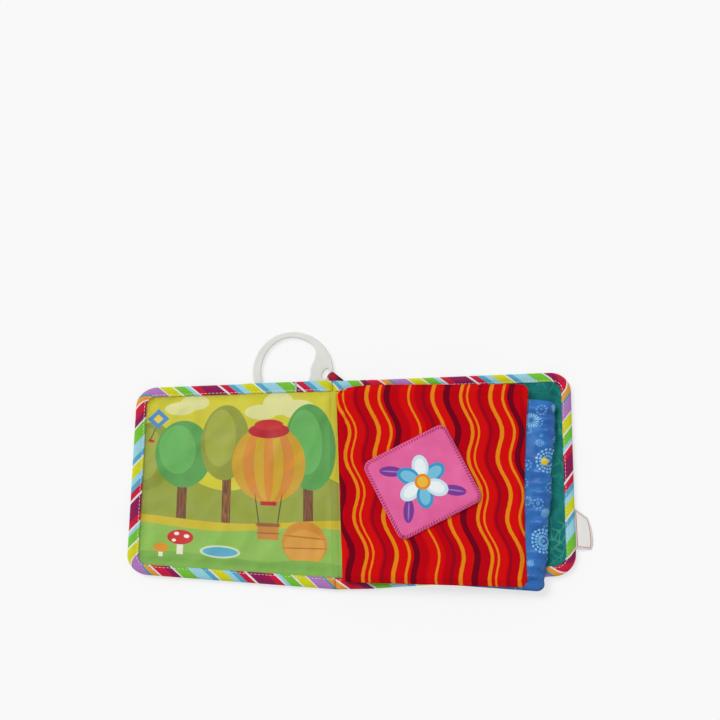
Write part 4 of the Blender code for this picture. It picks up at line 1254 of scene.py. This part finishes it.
def ribbon_finish(name):
    made = Finish(name, roughness=0.6, sheen=0.3)
    where = made.cloth()
    across, along, _ = made.split(where)
    rib = made.sum("MULTIPLY_ADD", made.sum("SINE", made.sum("MULTIPLY", across, 2 * math.pi / 0.0007)), 0.5, 0.5)
    crimson = made.blend(rib, dye(150, 10, 42), dye(196, 20, 60))
    # painted shade: the ribbon's lower right, where its fold lies in shade, is blended to dark plum in its colour
    dark = made.ramp(made.sum("MULTIPLY_ADD", across, -0.7, along), 0.0020, 0.0052)
    made.colour(made.blend(dark, crimson, dye(82, 4, 32)))
    made.emboss(rib, 0.00015)
    return made.material


bm = bmesh.new()
uv = bm.loops.layers.uv.new("cloth")
verts = []
for x, y, far_x, far_y, z in RIBBON_ROWS:
    verts.append([bm.verts.new((mix(x, far_x, share) / 1000, mix(y, far_y, share) / 1000,
                                z / 1000 + 0.0003 * math.sin(3 * math.pi * share)))
                  for share in (0.0, 0.25, 0.5, 0.75, 1.0)])
for i in range(len(RIBBON_ROWS) - 1):
    for j in range(4):
        face = bm.faces.new((verts[i][j], verts[i + 1][j], verts[i + 1][j + 1], verts[i][j + 1]))
        for loop, spot in zip(face.loops, ((i, j), (i + 1, j), (i + 1, j + 1), (i, j + 1))):
            loop[uv].uv = (spot[0] * 0.0026, spot[1] * 0.0022)
mesh = bpy.data.meshes.new("ribbon_loop")
bm.to_mesh(mesh)
bm.free()
ribbon = piece("ribbon_loop", mesh, ribbon_finish("crimson_ribbon"), None, ("link_tab",))
solid = ribbon.modifiers.new("cloth_thickness", "SOLIDIFY")
solid.thickness = 0.0005
solid.offset = 0
finer = ribbon.modifiers.new("smoother", "SUBSURF")
finer.levels = finer.render_levels = 2
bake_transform(ribbon)

# Woven label
# A white woven label without writing, folded and caught in the back cover's outer seam.
LABEL_CORNERS = ((0.1806, -0.0225), (0.1940, -0.0330), (0.1963, -0.0575), (0.1806, -0.0565))


def label_finish(name):
    made = Finish(name, roughness=0.6, sheen=0.2)
    where = made.cloth()
    rim = made.box(where, 0.5, 0.5, 0.80, 0.90, blur=0.02)
    inner = made.box(where, 0.5, 0.5, 0.72, 0.86, blur=0.02)
    line = made.sum("SUBTRACT", rim, inner)
    made.colour(made.blend(line, dye(236, 235, 231), dye(196, 70, 92)))
    made.weave(made.vector("MULTIPLY", where, (0.014, 0.034, 1.0))[0], 0.0007, 0.0001)
    return made.material


def label_point(s, t):
    a, b, c, d = (Vector(corner) for corner in LABEL_CORNERS)
    spot = a.lerp(b, s).lerp(d.lerp(c, s), t)
    spot = spot.lerp(a.lerp(d, t), 0.16 * s * abs(2 * t - 1) ** 3)
    return (spot.x, spot.y, 0.0031 - 0.0023 * s ** 1.4 + 0.0005 * math.sin(math.pi * t) * s)


net = grid_mesh("label_cloth", steps(0, 1, 0.08), steps(0, 1, 0.05), label_point)
facing(net, True)
woven = piece("label_cloth", net, label_finish("white_label"), "woven_label", ("woven_label",))
thicken(woven, 0.0006)
